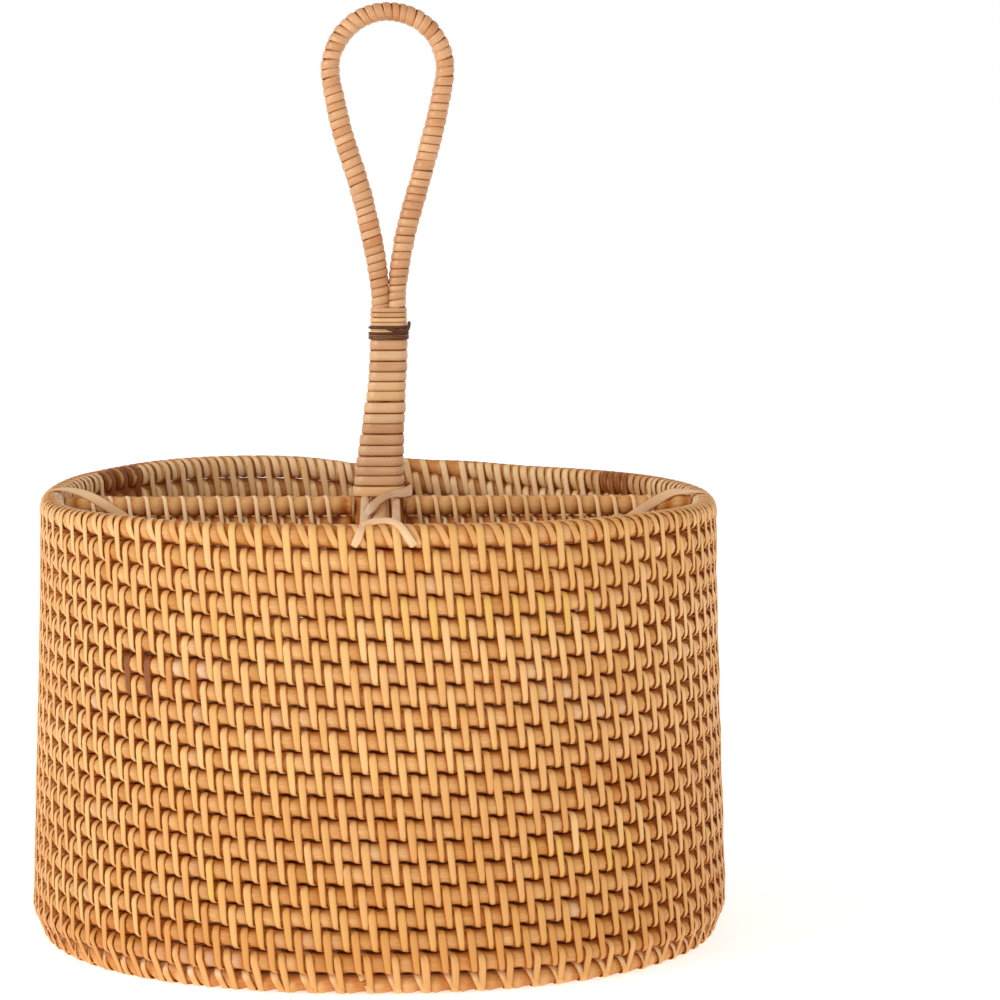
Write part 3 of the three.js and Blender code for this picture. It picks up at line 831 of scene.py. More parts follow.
def divider_strip(begin, end, heights, row, direction, side, rng):
    divider, stitch = settings().divider, settings().stitch
    pitch = divider.strip_pitch
    count = int((end - begin) / pitch) - 1
    on = advance_round(DIVIDER_LOOP, 0.3)
    stray = rng.normal(0, 0.03, count + 1)
    number = np.arange(count)[:, None]
    moved = number + on + stray[:-1, None] * (1 - on) + stray[1:, None] * on
    along = np.clip(begin + (first_strip(row) + moved) * pitch, begin, end)
    down, angle = DIVIDER_LOOP[:, 0][None, :], np.radians(DIVIDER_LOOP[:, 1])[None, :]
    height = heights[1] + (heights[0] - heights[1]) * down
    facing = np.cos(angle)[..., None] * side + np.sin(angle)[..., None] * UP
    facing = np.broadcast_to(facing, (count, *facing.shape[1:]))
    reach = divider.rod_diameter / 2 + stitch.thickness * SEATED
    flat = along[..., None] * direction + height[..., None] * UP
    path = (flat + reach * facing).reshape(-1, 3)
    runs = strip_runs(count, rng)
    tone = rng.normal(2.8, 0.5, runs[-1] + 1)[runs] + rng.normal(0, 0.3, count)
    stain_and_painted_light = np.repeat(np.stack([tone, np.zeros(count), np.zeros(count)], -1), len(on), axis=0)
    width = np.full(len(path), divider.strip_width)
    return flat_strand(path, facing.reshape(-1, 3), width, stitch.thickness, stain_and_painted_light, runs)


# Handle

# Room between the pole and what is wound on it
WINDING_GAP = 0.3 * MM

# Rounds in which the corners of the pole's line and of a tie's are eased, and a tie's step
POLE_ROUNDS, TIE_ROUNDS = 6, 40
TIE_STEP = 0.35 * MM


def winding_reach():
    """Distance from the middle of the pole to the middle of the cane wound on it."""
    handle = settings().handle
    return handle.pole_diameter / 2 + WINDING_GAP + handle.cane_thickness / 2


def handle_numbers():
    """Radius and centre height of the loop, and the slope of its straight sides."""
    handle = settings().handle
    bound = winding_reach() * (1 - handle.slimming) + handle.cane_thickness / 2 + 0.15 * MM
    radius = handle.loop_width / 2 - bound
    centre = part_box("loop_binding")[1][2] - bound - radius
    reach = math.hypot(handle.neck_offset, centre - handle.neck_height)
    slope = math.asin(radius / reach) - math.asin(handle.neck_offset / reach)
    return radius, centre, slope


def rail_top():
    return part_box("rail_front_back")[1][2]


def lean_at(height):
    handle = settings().handle
    return handle.lean * smoothstep(rail_top(), rail_top() + handle.lean_height, height)


def leg_distance(height):
    """Half the distance between the legs below the neck: they part slowly, then faster."""
    handle = settings().handle
    down = np.clip((handle.neck_height - height) / (handle.neck_height - rail_top()), 0, 1)
    bound_foot = handle.leg_offset - handle.foot_flare
    return handle.neck_offset + (bound_foot - handle.neck_offset) * down**2.4


def half_handle(fine):
    """The right-hand half of the pole's line, from its foot to the top, in x and height."""
    handle = settings().handle
    radius, centre, slope = handle_numbers()
    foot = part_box("handle_pole")[0][2]
    low = np.linspace(foot, handle.neck_height, 60)
    legs = np.stack([np.where(low < rail_top(), handle.leg_offset, leg_distance(low)), low], -1)
    side_top = centre - radius * math.sin(slope)
    high = np.linspace(handle.neck_height, side_top, 40)[1:]
    climbed = (high - handle.neck_height) / (side_top - handle.neck_height)
    hollow = handle.side_hollow * np.sin(math.pi * np.minimum(climbed / 0.8, 1) ** 0.75)
    sides = handle.neck_offset + (high - handle.neck_height) * math.tan(slope) - hollow
    sides = np.stack([sides, high], -1)
    angle = np.linspace(-slope, math.pi / 2, 50)[1:]
    arc = np.stack([radius * np.cos(angle), centre + radius * np.sin(angle)], -1)
    return resampled(eased(np.concatenate([legs, sides, arc]), POLE_ROUNDS), fine)


def slimness(height):
    """Share of its thickness that the pole keeps: it is thinner in the bend and at the neck."""
    handle = settings().handle
    _, centre, _ = handle_numbers()
    neck = handle.neck_height
    in_bend = smoothstep(centre - 18 * MM, centre + 4 * MM, height)
    at_neck = smoothstep(neck + 25 * MM, neck, height) * smoothstep(neck - 12 * MM, neck, height)
    return 1 - handle.slimming * (in_bend + at_neck)


def handle_line(step, lowest=0.0):
    """The pole from one foot round to the other, or only what is above a height, in space."""
    half = half_handle(step)
    half = half[half[:, 1] >= lowest]
    other = half[:-1][::-1] * (-1, 1)
    flat = np.concatenate([half, other])
    rng = seeded("pole")
    along = np.linspace(0, 1, len(flat))
    stray = sum(np.sin(2 * math.pi * (n * along + rng.random())) / n for n in (3, 5, 8)) * 0.35 * MM
    neck = settings().handle.neck_height
    above = smoothstep(neck, neck + 0.02, flat[:, 1])
    x = flat[:, 0] + lean_at(flat[:, 1]) + stray * above
    return np.stack([x, stray * 0.6 * above, flat[:, 1]], -1)


def tube_strand(path, radius, sides, stain_and_painted_light):
    """A round rod along a line that lies near the upright plane through both legs."""
    along = unit(np.gradient(path, axis=0))
    facing = np.broadcast_to(np.array((0.0, -1.0, 0.0)), path.shape)
    side = unit(np.cross(along, facing))
    facing = unit(np.cross(side, along))
    section = round_section(sides)[None] * np.broadcast_to(radius, len(path))[:, None, None]
    return Strand(path, side, facing, section, stain_and_painted_light)


def plain_stain(count, tone, brown):
    return np.tile(np.array((tone, 0.0, brown)), (count, 1))


def loop_winding():
    """The strip wound on the loop above the neck."""
    handle = settings().handle
    rng = seeded("loop_winding")
    line = handle_line(0.2 * MM, handle.neck_height - 1.0 * MM)
    run = distances(line)
    turns = int(run[-1] / handle.loop_pitch)
    places = 18
    made = np.arange(turns * places + 1) / places
    number = np.minimum(made.astype(int), turns - 1)
    pitch = 1 + rng.normal(0, 0.09, turns + 1)
    edges = np.concatenate([[0.0], np.cumsum(pitch[:turns])])
    edges *= run[-1] / edges[-1]
    where = np.interp(made, np.arange(turns + 1), edges)
    centre = points_at(where, run, line)
    along = unit(np.gradient(centre, axis=0))
    depth = np.broadcast_to(np.array((0.0, -1.0, 0.0)), centre.shape)
    side = unit(np.cross(along, depth))
    angle = made * 2 * math.pi
    facing = np.cos(angle)[:, None] * side - np.sin(angle)[:, None] * depth
    proud = rng.normal(0, 0.06 * MM, turns + 1)
    reach = winding_reach() * slimness(centre[:, 2]) + proud[number]
    path = centre + reach[:, None] * facing
    width = np.diff(edges)[number] * 1.02
    runs = strip_runs(turns, rng)
    tone = rng.normal(-0.9, 0.4, runs[-1] + 1)[runs] + rng.normal(0, 0.35, turns)
    brown = np.clip(rng.normal(-0.05, 0.18, turns), 0, 0.5)
    stain_and_painted_light = np.stack([tone, np.zeros(turns), brown], -1)[number]
    return flat_strand(path, facing, width, handle.cane_thickness, stain_and_painted_light)


def stadium(made, half, reach):
    """Points and directions outwards on loops round both legs, one loop for each whole number."""
    part = made - np.floor(made)
    straight = 4 * half
    bend = 2 * math.pi * reach
    total = straight + bend
    far = part * total
    stops = np.stack([half, half + bend / 2, 3 * half + bend / 2, 3 * half + bend], 0)
    x, y = np.zeros_like(far), np.zeros_like(far)
    nx, ny = np.zeros_like(far), np.zeros_like(far)
    front = (far < stops[0]) | (far >= stops[3])
    offset = np.where(far < stops[0], far, far - total)
    x, y, ny = np.where(front, offset, x), np.where(front, -reach, y), np.where(front, -1.0, ny)
    right = (far >= stops[0]) & (far < stops[1])
    angle = (far - stops[0]) / reach - math.pi / 2
    nx, ny = np.where(right, np.cos(angle), nx), np.where(right, np.sin(angle), ny)
    x = np.where(right, half + reach * np.cos(angle), x)
    y = np.where(right, reach * np.sin(angle), y)
    behind = (far >= stops[1]) & (far < stops[2])
    x = np.where(behind, half - (far - stops[1]), x)
    y, ny = np.where(behind, reach, y), np.where(behind, 1.0, ny)
    left = (far >= stops[2]) & (far < stops[3])
    angle = (far - stops[2]) / reach + math.pi / 2
    nx, ny = np.where(left, np.cos(angle), nx), np.where(left, np.sin(angle), ny)
    x = np.where(left, -half + reach * np.cos(angle), x)
    y = np.where(left, reach * np.sin(angle), y)
    zero = np.zeros_like(x)
    return np.stack([x, y, zero], -1), np.stack([nx, ny, zero], -1)


def stem_strand(edges, thickness, name, proud=0.0, width=None):
    """A strip wound round both legs. It climbs behind, from one height in edges to the next."""
    handle = settings().handle
    rng = seeded(name)
    turns = len(edges) - 1
    places = 36
    half = places // 2
    made = np.arange(-half, turns * places + half) / places
    begun = np.clip(np.floor(made), 0, turns - 1)
    climbed = begun + smoothstep(0.12, 0.88, made - begun)
    height = np.interp(climbed, np.arange(turns + 1), edges)
    number = np.floor(made + 0.5).astype(int)
    reach = handle.pole_diameter / 2 + WINDING_GAP + thickness / 2 + proud
    reach = reach + rng.normal(0, 0.1 * MM, turns + 1)[number] * (proud == 0)
    flat, facing = stadium(made, leg_distance(height), reach)
    path = flat + height[:, None] * UP
    path[:, 0] += lean_at(height)
    sizes = np.gradient(edges)[number] * 0.98 if width is None else np.full(len(made), width)
    tone = rng.normal(0.2, 0.5, turns + 1)[number]
    gold = np.clip(rng.normal(0, 0.3, turns + 1), 0, 0.6)[number]
    stain_and_painted_light = np.stack([tone, gold, np.zeros(len(made))], -1)
    return flat_strand(path, unit(facing + 0.06 * UP), sizes, thickness, stain_and_painted_light)


def uneven_steps(low, high, pitch, name):
    """Heights about a pitch apart, from one to the other."""
    rng = seeded(name)
    count = max(int(round((high - low) / pitch)), 1)
    steps = np.cumsum(np.concatenate([[0.0], 1 + rng.normal(0, 0.07, count)]))
    return low + steps / steps[-1] * (high - low)


# Ties

def tie_strand(stops, facings, width, thickness, tone=0.0):
    """A flat strip through given stops that each say which way it faces, its corners eased."""
    stops = np.array(stops, float)
    line = eased(resampled(stops, TIE_STEP), TIE_ROUNDS)
    marks = distances(stops) / np.linalg.norm(np.diff(stops, axis=0), axis=1).sum()
    places = np.linspace(0, 1, len(line))
    facing = points_at(places, marks, np.array(facings, float))
    ends = smoothstep(0, 0.03, places) * smoothstep(0, 0.03, 1 - places)
    size = width * (0.85 + 0.15 * ends)
    return flat_strand(line, unit(facing), size, thickness, plain_stain(len(line), tone, 0.0))


def stem_end():
    """End of the stem's strip, which leaves its lowest turn and slants forward over the rail."""
    handle = settings().handle
    low = rail_top()
    reach = handle.leg_offset + handle.pole_diameter / 2
    stops = [
        (0, 3.6 * MM, low + 3.2 * MM),
        (reach - 0.2 * MM, 3.4 * MM, low + 2.8 * MM),
        (reach + 2.5 * MM, 0.5 * MM, low + 2.3 * MM),
        (reach + 0.8 * MM, -3.8 * MM, low + 1.5 * MM),
        (4.2 * MM, -7.0 * MM, low + 1.5 * MM),
        (1.2 * MM, -16.0 * MM, low + 1.5 * MM),
        (-1.6 * MM, -34.0 * MM, low + 1.4 * MM),
        (-3.0 * MM, -46.0 * MM, low + 0.2 * MM),
        (-3.7 * MM, -50.0 * MM, low - 1.2 * MM),
    ]
    facings = [(0, 1, 0), (0.4, 1, 0), (1, 0, 0), (0.5, -1, 0.5), (0.1, -0.9, 0.8)]
    facings += [(0, -0.8, 0.8), (-0.1, -0.7, 1), (-0.4, -0.4, 1), (-1, 0, 0.6)]
    return tie_strand(stops, facings, 3.3 * MM, settings().tie.thickness, 0.8)


def brace_strands(end):
    """Strips from the foot of the stem along the long rail and over the rim: end is -1 in front."""
    tie, stitch, coil = settings().tie, settings().stitch, settings().coil
    rod = settings().divider.rod_diameter / 2
    _, rim = wall_radii()
    rim_z = rim_height()
    proud = coil.rim_diameter / 2 + stitch.thickness * 1.3 + tie.thickness * 0.6
    beside = rod + stitch.thickness + tie.width / 2 - 0.2 * MM
    rest = rail_top() - 0.4 * MM
    made = {}
    for side, name in ((-1, "left"), (1, "right")):
        x = side * beside + (0.7 * MM if side > 0 else 0)
        out = x + side * tie.splay
        stops = [
            (x, end * 2.8 * MM, rest + 0.5 * MM),
            (x, end * 5.5 * MM, rest + 0.3 * MM),
            (x, end * (rim - 12 * MM), rest),
            (x + side * 0.1 * MM, end * (rim - 3.2 * MM), rim_z + proud * 0.96),
            (x + side * 0.4 * MM, end * rim, rim_z + proud * 1.05),
            (x + side * 0.9 * MM, end * (rim + proud * 0.82), rim_z + proud * 0.82),
            (x + side * 1.7 * MM, end * (rim + proud * 1.08), rim_z),
            (out - side * 0.4 * MM, end * (rim + proud), rim_z - tie.drop),
            (out, end * (rim + proud - 1.4 * MM), rim_z - tie.drop - 0.8 * MM),
        ]
        flat, away = (0, 0, 1), (0, end, 0)
        facings = [flat, flat, flat, flat, flat, (0, end, 1), away, away, away]
        tone = 1.8
        if side > 0:
            stops, facings, tone = stops[:6], facings[:6], 1.0
        made[name] = [tie_strand(stops, facings, tie.width, tie.thickness, tone)]
    top = rim_z + proud + tie.thickness
    arch = [
        (-beside - 0.6 * MM, end * (rim + proud * 0.3), top - 0.5 * MM),
        (-beside * 0.6, end * (rim - 0.3 * MM), top + 0.3 * MM),
        (0.8 * MM, end * (rim - 1.0 * MM), top + 0.8 * MM),
        (beside, end * rim, top + 0.5 * MM),
        (beside + 2.2 * MM, end * (rim + proud * 0.9), rim_z + proud * 0.94),
        (beside + 3.9 * MM, end * (rim + proud + 0.7 * MM), rim_z + 0.6 * MM),
        (beside + 5.0 * MM, end * (rim + proud + 0.4 * MM), rim_z - tie.drop),
        (beside + 5.3 * MM, end * (rim + proud - 1.4 * MM), rim_z - tie.drop - 0.8 * MM),
    ]
    away, tilted = (0, end, 0.1), (0, end, 1.0)
    facings = [tilted, tilted, (0, end * 0.8, 1), tilted, tilted, away, away, away]
    made["right"].append(tie_strand(arch, facings, tie.width, tie.thickness, 1.5))
    return made


def lashing_strand(side):
    """A strip over the rim and slantwise down the front of the short divider."""
    tie, stitch = settings().tie, settings().stitch
    _, rim = wall_radii()
    rim_z = coil_line(np.array([rim_level() + 0.25 * side]))[0][0, 2]
    proud = settings().coil.rim_diameter / 2 + stitch.thickness + tie.thickness * 0.6
    rod = settings().divider.rod_diameter / 2 + stitch.thickness + tie.thickness * 0.6
    rail = rail_top() - settings().divider.rod_diameter / 2
    stops = [
        (side * (rim + proud - 1.2 * MM), -2.0 * MM, rim_z - 6.5 * MM),
        (side * (rim + proud + 0.1 * MM), -1.6 * MM, rim_z - 4 * MM),
        (side * (rim + proud), -1.0 * MM, rim_z),
        (side * (rim + proud * 0.72), -0.6 * MM, rim_z + proud * 0.72),
        (side * rim, 0.0, rim_z + proud),
        (side * (rim - 4 * MM), 0.2 * MM, rim_z + proud),
        (side * (rim - 9 * MM), -0.4 * MM, rail + rod + 0.5 * MM),
        (side * (rim - 12 * MM), -1.9 * MM, rail + rod * 0.75),
        (side * (rim - 16 * MM), -rod - 0.1 * MM, rail + 0.4 * MM),
        (side * (rim - 21 * MM), -rod - 0.1 * MM, rail - 3.0 * MM),
        (side * (rim - 23 * MM), -rod + 1.3 * MM, rail - 4.6 * MM),
    ]
    away, flat, front = (side, 0, 0), (0, 0, 1), (0, -1, 0)
    facings = [away, away, away, (side, 0, 1), flat, (0, -0.3, 1), (0, -0.8, 1), (0, -1, 0.6)]
    facings += [front] * 3
    return tie_strand(stops, facings, tie.width * 1.25, tie.thickness, 1.6)


# Materials

def add(tree, kind, options=None, inputs=None):
    """Adds a node, sets its options, and gives its inputs a value or another node's output."""
    node = tree.nodes.new(kind)
    for name, value in (options or {}).items():
        setattr(node, name, value)
    for name, value in (inputs or {}).items():
        if isinstance(value, bpy.types.NodeSocket):
            tree.links.new(value, node.inputs[name])
        else:
            node.inputs[name].default_value = value
    return node


def stretched_noise(tree, along_mm, across_mm, detail, shift=0.0):
    """Streaks that run along a strand, from their length and breadth in millimetres."""
    grain = add(tree, "ShaderNodeAttribute", {"attribute_name": "grain"}).outputs["Vector"]
    scale = (1000 / along_mm, 1000 / across_mm, 1000 / across_mm)
    mapped = add(
        tree,
        "ShaderNodeMapping",
        inputs={"Vector": grain, "Scale": scale, "Location": (shift, shift, shift)},
    ).outputs["Vector"]
    settings_in = {"Vector": mapped, "Scale": 1.0, "Detail": detail, "Roughness": 0.6}
    return add(tree, "ShaderNodeTexNoise", inputs=settings_in).outputs["Fac"]


# Options of a Mix node for colours, and the inputs of a Map Range node in their order
COLOUR_MIX = {"data_type": "RGBA", "clamp_factor": True}
RANGE_INPUTS = ("Value", "From Min", "From Max", "To Min", "To Max")

# Length and breadth in millimetres of the patches that lie over the streaks
PATCH_MM = (26.0, 9.0)


def plant_material(name, light, dark, second, brown, roughness, fibre, edge=0.0):
    """Rattan or cane. fibre is the length, breadth and depth of its streaks in millimetres.

    edge is how brown a strip's two edges are: painted shade on their rounded sides, and some stain.
    """
    finish = settings().finish
    material = bpy.data.materials.new(name)
    material.use_nodes = True
    tree = material.node_tree
    shader = tree.nodes["Principled BSDF"]
    stain_and_painted_light = add(tree, "ShaderNodeAttribute", {"attribute_name": "stain_and_painted_light"}).outputs["Vector"]
    parts = add(tree, "ShaderNodeSeparateXYZ", inputs={"Vector": stain_and_painted_light}).outputs
    length_mm, breadth_mm, depth_mm = fibre
    streaks = stretched_noise(tree, length_mm, breadth_mm, 4.0)
    patches = stretched_noise(tree, *PATCH_MM, 2.0, 3.7)

    # The mottle is streaks and patches, less the strand's tone, which holds painted light and shade
    weighed = []
    for value, weight in ((streaks, 0.75), (patches, 0.6), (parts[0], 0.16)):
        product = add(tree, "ShaderNodeMath", {"operation": "MULTIPLY"}, {0: value, 1: weight})
        weighed.append(product.outputs[0])
    both = {0: weighed[0], 1: weighed[1]}
    mottle = add(tree, "ShaderNodeMath", {"operation": "ADD"}, both).outputs[0]
    less_tone = {0: mottle, 1: weighed[2]}
    toned = add(tree, "ShaderNodeMath", {"operation": "SUBTRACT"}, less_tone).outputs[0]

    # How much darker grain, fading and painted light, streaked brown, darkest brown and roughness
    ranges = [
        (toned, 0.42, 1.0, 0.0, 1.0),
        (toned, 0.42, 0.1, 0.0, 1.0),
        (streaks, 0.3, 0.6, 0.55, 1.0),
        (parts[2], 1.0, 2.0, 0.0, 1.0),
        (mottle, 0.4, 1.0, roughness - 0.07, roughness + 0.12),
    ]
    if edge:
        grain = add(tree, "ShaderNodeAttribute", {"attribute_name": "grain"}).outputs["Vector"]
        out = add(tree, "ShaderNodeSeparateXYZ", inputs={"Vector": grain}).outputs["Z"]
        ranges.append((out, 0.2 * MM, -0.05 * MM, 0.0, edge))
    shares = []
    for values in ranges:
        ends = dict(zip(RANGE_INPUTS, values))
        shares.append(add(tree, "ShaderNodeMapRange", {"clamp": True}, ends).outputs["Result"])
    darker, faded, streaked, darkest, rough = shares[:5]
    brown_stain_and_shade = {0: parts[2], 1: streaked}
    brown_stain_and_shade = add(tree, "ShaderNodeMath", {"operation": "MULTIPLY"}, brown_stain_and_shade).outputs[0]

    # The colours lie over each other in this order; browns are stain and painted shade, edges last
    layers = [(darker, dark), (faded, finish.faded), (parts[1], second)]
    layers += [(brown_stain_and_shade, brown), (darkest, finish.old_stain)]
    layers += [(at_edges, brown) for at_edges in shares[5:]]
    base = (*light, 1)
    for how_much, tint in layers:
        over = {0: how_much, 6: base, 7: (*tint, 1)}
        base = add(tree, "ShaderNodeMix", COLOUR_MIX, over).outputs[2]
    bump = add(
        tree,
        "ShaderNodeBump",
        inputs={"Strength": 0.6, "Distance": depth_mm * MM, "Height": streaks},
    )
    tree.links.new(base, shader.inputs["Base Color"])
    tree.links.new(rough, shader.inputs["Roughness"])
    tree.links.new(bump.outputs["Normal"], shader.inputs["Normal"])
    shader.inputs["IOR"].default_value = 1.5
    shader.inputs["Specular IOR Level"].default_value = 0.35
    return material


def split_cane():
    """Split cane with its skin: hard and smooth, so it takes a soft gloss over long fine fibres."""
    f = settings().finish
    fibre = (14.0, 0.22, 0.03)
    return plant_material("split_cane", f.peel, f.peel_shade, f.golden, f.brown, 0.42, fibre, 0.8)


def round_core():
    """Round core pushed through a die: no skin, open pores, so it is matt and more pink."""
    f = settings().finish
    fibre = (6.0, 0.32, 0.07)
    return plant_material("round_core", f.core, f.core_shade, f.pale, f.brown, 0.6, fibre)


def scraped_pole():
    """Rattan pole with its skin scraped off: matt, with long dull streaks between the windings."""
    f = settings().finish
    fibre = (18.0, 0.5, 0.05)
    return plant_material("scraped_pole", f.core, f.core_shade, f.pale, f.brown, 0.55, fibre)


def handle_cane():
    """Cane handled and darkened, greyer than the stitches, with the same long fibres."""
    f = settings().finish
    colours = (f.binding, f.binding_shade, f.peel, f.brown)
    return plant_material("handle_cane", *colours, 0.24, (12.0, 0.25, 0.04), 0.9)


def lashing_cane():
    """The same cane scraped dull for the lashings and braces, so that its edges take no shine."""
    f = settings().finish
    colours = (f.binding, f.binding_shade, f.peel, f.brown)
    return plant_material("lashing_cane", *colours, 0.65, (12.0, 0.25, 0.04), 0.6)


def smoked_cane():
    """Cane smoked dark brown: the fibres barely show."""
    f = settings().finish
    fibre = (10.0, 0.25, 0.04)
    return plant_material("smoked_cane", f.tie, f.tie_shade, f.tie, f.tie_shade, 0.45, fibre, 0.8)


def material(maker):
    """The material of that name, made when it is first asked for."""
    return bpy.data.materials.get(maker.__name__) or maker()


# Operators

# Shares of a turn just before and just after the coil changes rows, where lengths of core end
BEFORE_CLIMB, AFTER_CLIMB = 0.38, 0.62

# Turns in a length of the wall's core, and the slit between two lengths, in turns
LENGTH_TURNS, SPLICE = 5, 0.0004

# Rings of core to a turn at the middle of the base, in the rest of it, and in the wall
RINGS = (120, 420, 760)


def stitches_up_to(turn):
    turns, made = stitch_table()
    return int(np.interp(turn, turns, made))


class HOLDER_OT_core(bpy.types.Operator):
    """Make the coiled core of the base, the wall and the rim"""

    bl_idname = "holder.core"
    bl_label = "Coiled Core"

    def execute(self, context):
        coil = settings().coil
        start = coil.base_turns - 1 + BEFORE_CLIMB
        on_wall = coil.base_turns - 1 + AFTER_CLIMB
        top = rim_level()
        core = material(round_core)
        in_middle, in_base, in_wall = RINGS
        base = [core_strand(0, 3, in_middle, 10, "base a")]
        base.append(core_strand(3, start, in_base, 10, "base b"))
        make_piece("coiled_core_base", base, core, ["base_rod"])
        for number in range(1, 5):
            end = min(on_wall + number * LENGTH_TURNS, top - 1 + AFTER_CLIMB)
            name = f"coiled_core_wall_{number}"
            strand = core_strand(start + SPLICE, end, in_wall, 10, name)
            make_piece(name, [strand], core, [f"wall_rod_{number}"])
            start = end
        rim = core_strand(start + SPLICE, top + 0.5, in_wall, 12, "rim")
        make_piece("coiled_core_rim", [rim], core, ["rim_rod"])
        return {"FINISHED"}


class HOLDER_OT_stitches(bpy.types.Operator):
    """Make the cane stitches of the base and the wall, and the extra wraps of the rim"""

    bl_idname = "holder.stitches"
    bl_label = "Cane Stitches"

    def execute(self, context):
        coil, stitch = settings().coil, settings().stitch
        peel = material(split_cane)
        top = rim_level()
        marks = [1, coil.base_turns * 0.7, coil.base_turns - 1]
        marks += [coil.base_turns - 1 + 4.0 * step for step in range(1, 5)] + [top + 0.5]
        counts = [stitches_up_to(turn) for turn in marks]
        for number, (first, last) in enumerate(zip(counts[:-1], counts[1:]), 1):
            name = f"cane_stitches_{number}"
            strand = stitch_strand(first, last, TWO_ROD_LOOP, stitch.lean, name)
            make_piece(name, [strand], peel)
        first, last = stitches_up_to(top - 0.5), stitches_up_to(top + 0.46)
        lean = stitch.rim_lean
        wraps = stitch_strand(first, last, ONE_ROD_LOOP, lean, "rim_wraps", stitch.rim_offset)
        make_piece("cane_rim_wraps", [wraps], peel)
        start = stitch_strand(0, stitches_up_to(1), ONE_ROD_LOOP, lean, "start_wraps", 0.0, 1.4)
        make_piece("cane_start_wraps", [start], peel)
        return {"FINISHED"}


class HOLDER_OT_dividers(bpy.types.Operator):
    """Make the long divider and the two halves of the short one, with their strips"""

    bl_idname = "holder.dividers"
    bl_label = "Dividers"

    def execute(self, context):
        leg = settings().handle.leg_offset + settings().handle.pole_diameter / 2 + 0.5 * MM
        panels = (
            ("front_back", None, (0, 1, 0)),
            ("left", leg, (-1, 0, 0)),
            ("right", leg, (1, 0, 0)),
        )
        core, peel = material(round_core), material(split_cane)
        for name, near, direction in panels:
            rods, strips = divider_strands(near, direction, name)
            make_piece(f"divider_{name}_rods", rods[:-1], core, [f"divider_{name}"])
            make_piece(f"divider_{name}_rail", rods[-1:], core, [f"rail_{name}"])
            make_piece(f"divider_{name}_cane", strips, peel)
        return {"FINISHED"}


class HOLDER_OT_handle(bpy.types.Operator):
    """Make the bent pole, the windings of loop and stem, and the dark tie"""

    bl_idname = "holder.handle"
    bl_label = "Loop Handle"

    def execute(self, context):
        handle = settings().handle
        line = handle_line(0.8 * MM)
        stain_and_painted_light = plain_stain(len(line), 0.0, 0.1)
        # Painted shade: the pole is browner below the rail's top
        stain_and_painted_light[:, 2] += 0.9 * smoothstep(rail_top() + 1 * MM, rail_top() - 1 * MM, line[:, 2])
        pole = tube_strand(line, handle.pole_diameter / 2 * slimness(line[:, 2]), 14, stain_and_painted_light)
        cane = material(handle_cane)
        make_piece("handle_rod", [pole], material(scraped_pole), ["handle_pole"])
        make_piece("handle_loop_winding", [loop_winding()], cane, ["loop_binding"])
        lower = uneven_steps(rail_top() + 1.7 * MM, handle.tie_height, handle.stem_pitch, "stem")
        upper = uneven_steps(handle.tie_height, handle.stem_top, handle.neck_pitch, "neck")
        edges = np.concatenate([lower, upper[1:]])
        stem = stem_strand(edges, handle.cane_thickness, "stem")
        make_piece("handle_stem_winding", [stem, stem_end()], cane, ["stem_binding"])

        rises = np.array((-1.3, -0.6, 0.1, 1.9)) * MM
        over = handle.cane_thickness
        tie = stem_strand(handle.tie_height + rises, 0.5 * MM, "tie", over, width=0.85 * MM)
        x = lean_at(handle.tie_height) + handle.neck_offset + handle.pole_diameter / 2
        front = -(handle.pole_diameter / 2 + handle.cane_thickness + 0.7 * MM)
        tail_stops = [
            (x - 5.0 * MM, front, handle.tie_height + 1.9 * MM),
            (x - 1.6 * MM, front, handle.tie_height + 0.6 * MM),
            (x + 0.8 * MM, front + 0.6 * MM, handle.tie_height + 0.2 * MM),
            (x + 1.7 * MM, front + 1.5 * MM, handle.tie_height + 1.6 * MM),
            (x + 1.5 * MM, front + 1.7 * MM, handle.tie_height + 3.6 * MM),
        ]
        tail = tie_strand(tail_stops, [(0.1, -1, 0)] * 2 + [(0.6, -1, 0)] * 3, 1.2 * MM, 0.5 * MM)
        make_piece("handle_dark_tie", [tie, tail], material(smoked_cane), ["dark_tie"])
        return {"FINISHED"}


class HOLDER_OT_ties(bpy.types.Operator):
    """Make the strips that hold the handle and the dividers to the rim"""

    bl_idname = "holder.ties"
    bl_label = "Lashings and Braces"

    def execute(self, context):
        cane = material(lashing_cane)
        for name, side in (("left", -1), ("right", 1)):
            made = [lashing_strand(side)]
            make_piece(f"end_lashing_{name}", made, cane, [f"lashing_{name}"])
        for place, end in (("front", -1), ("rear", 1)):
            for name, strands in brace_strands(end).items():
                piece = f"stem_brace_{place}_{name}"
                make_piece(piece, strands, cane, [f"brace_{place}_{name}"])
        return {"FINISHED"}


# Camera as in the photograph: metres, degrees, and its picture's side and axis in pixels
CAMERA_DISTANCE = 1.208
CAMERA_HEIGHT = 0.257
CAMERA_PITCH = 6.18
PICTURE_SIDE = 1000
PICTURE_FOCUS = 4108
HOLDER_AXIS = 378.3

# Radius of the floor in metres, and its number of corners
FLOOR_RADIUS, FLOOR_CORNERS = 20, 96


def softbox(name, place, target, side, power, tone):
    light = bpy.data.lights.new(name, "AREA")
    light.shape = "SQUARE"
    light.size = side
    light.energy = power
    light.color = linear(tone)
    holder = bpy.data.objects.new(name, light)
    holder.location = place
    holder.rotation_euler = (Vector(target) - Vector(place)).to_track_quat("-Z", "Y").to_euler()
    bpy.context.scene.collection.objects.link(holder)


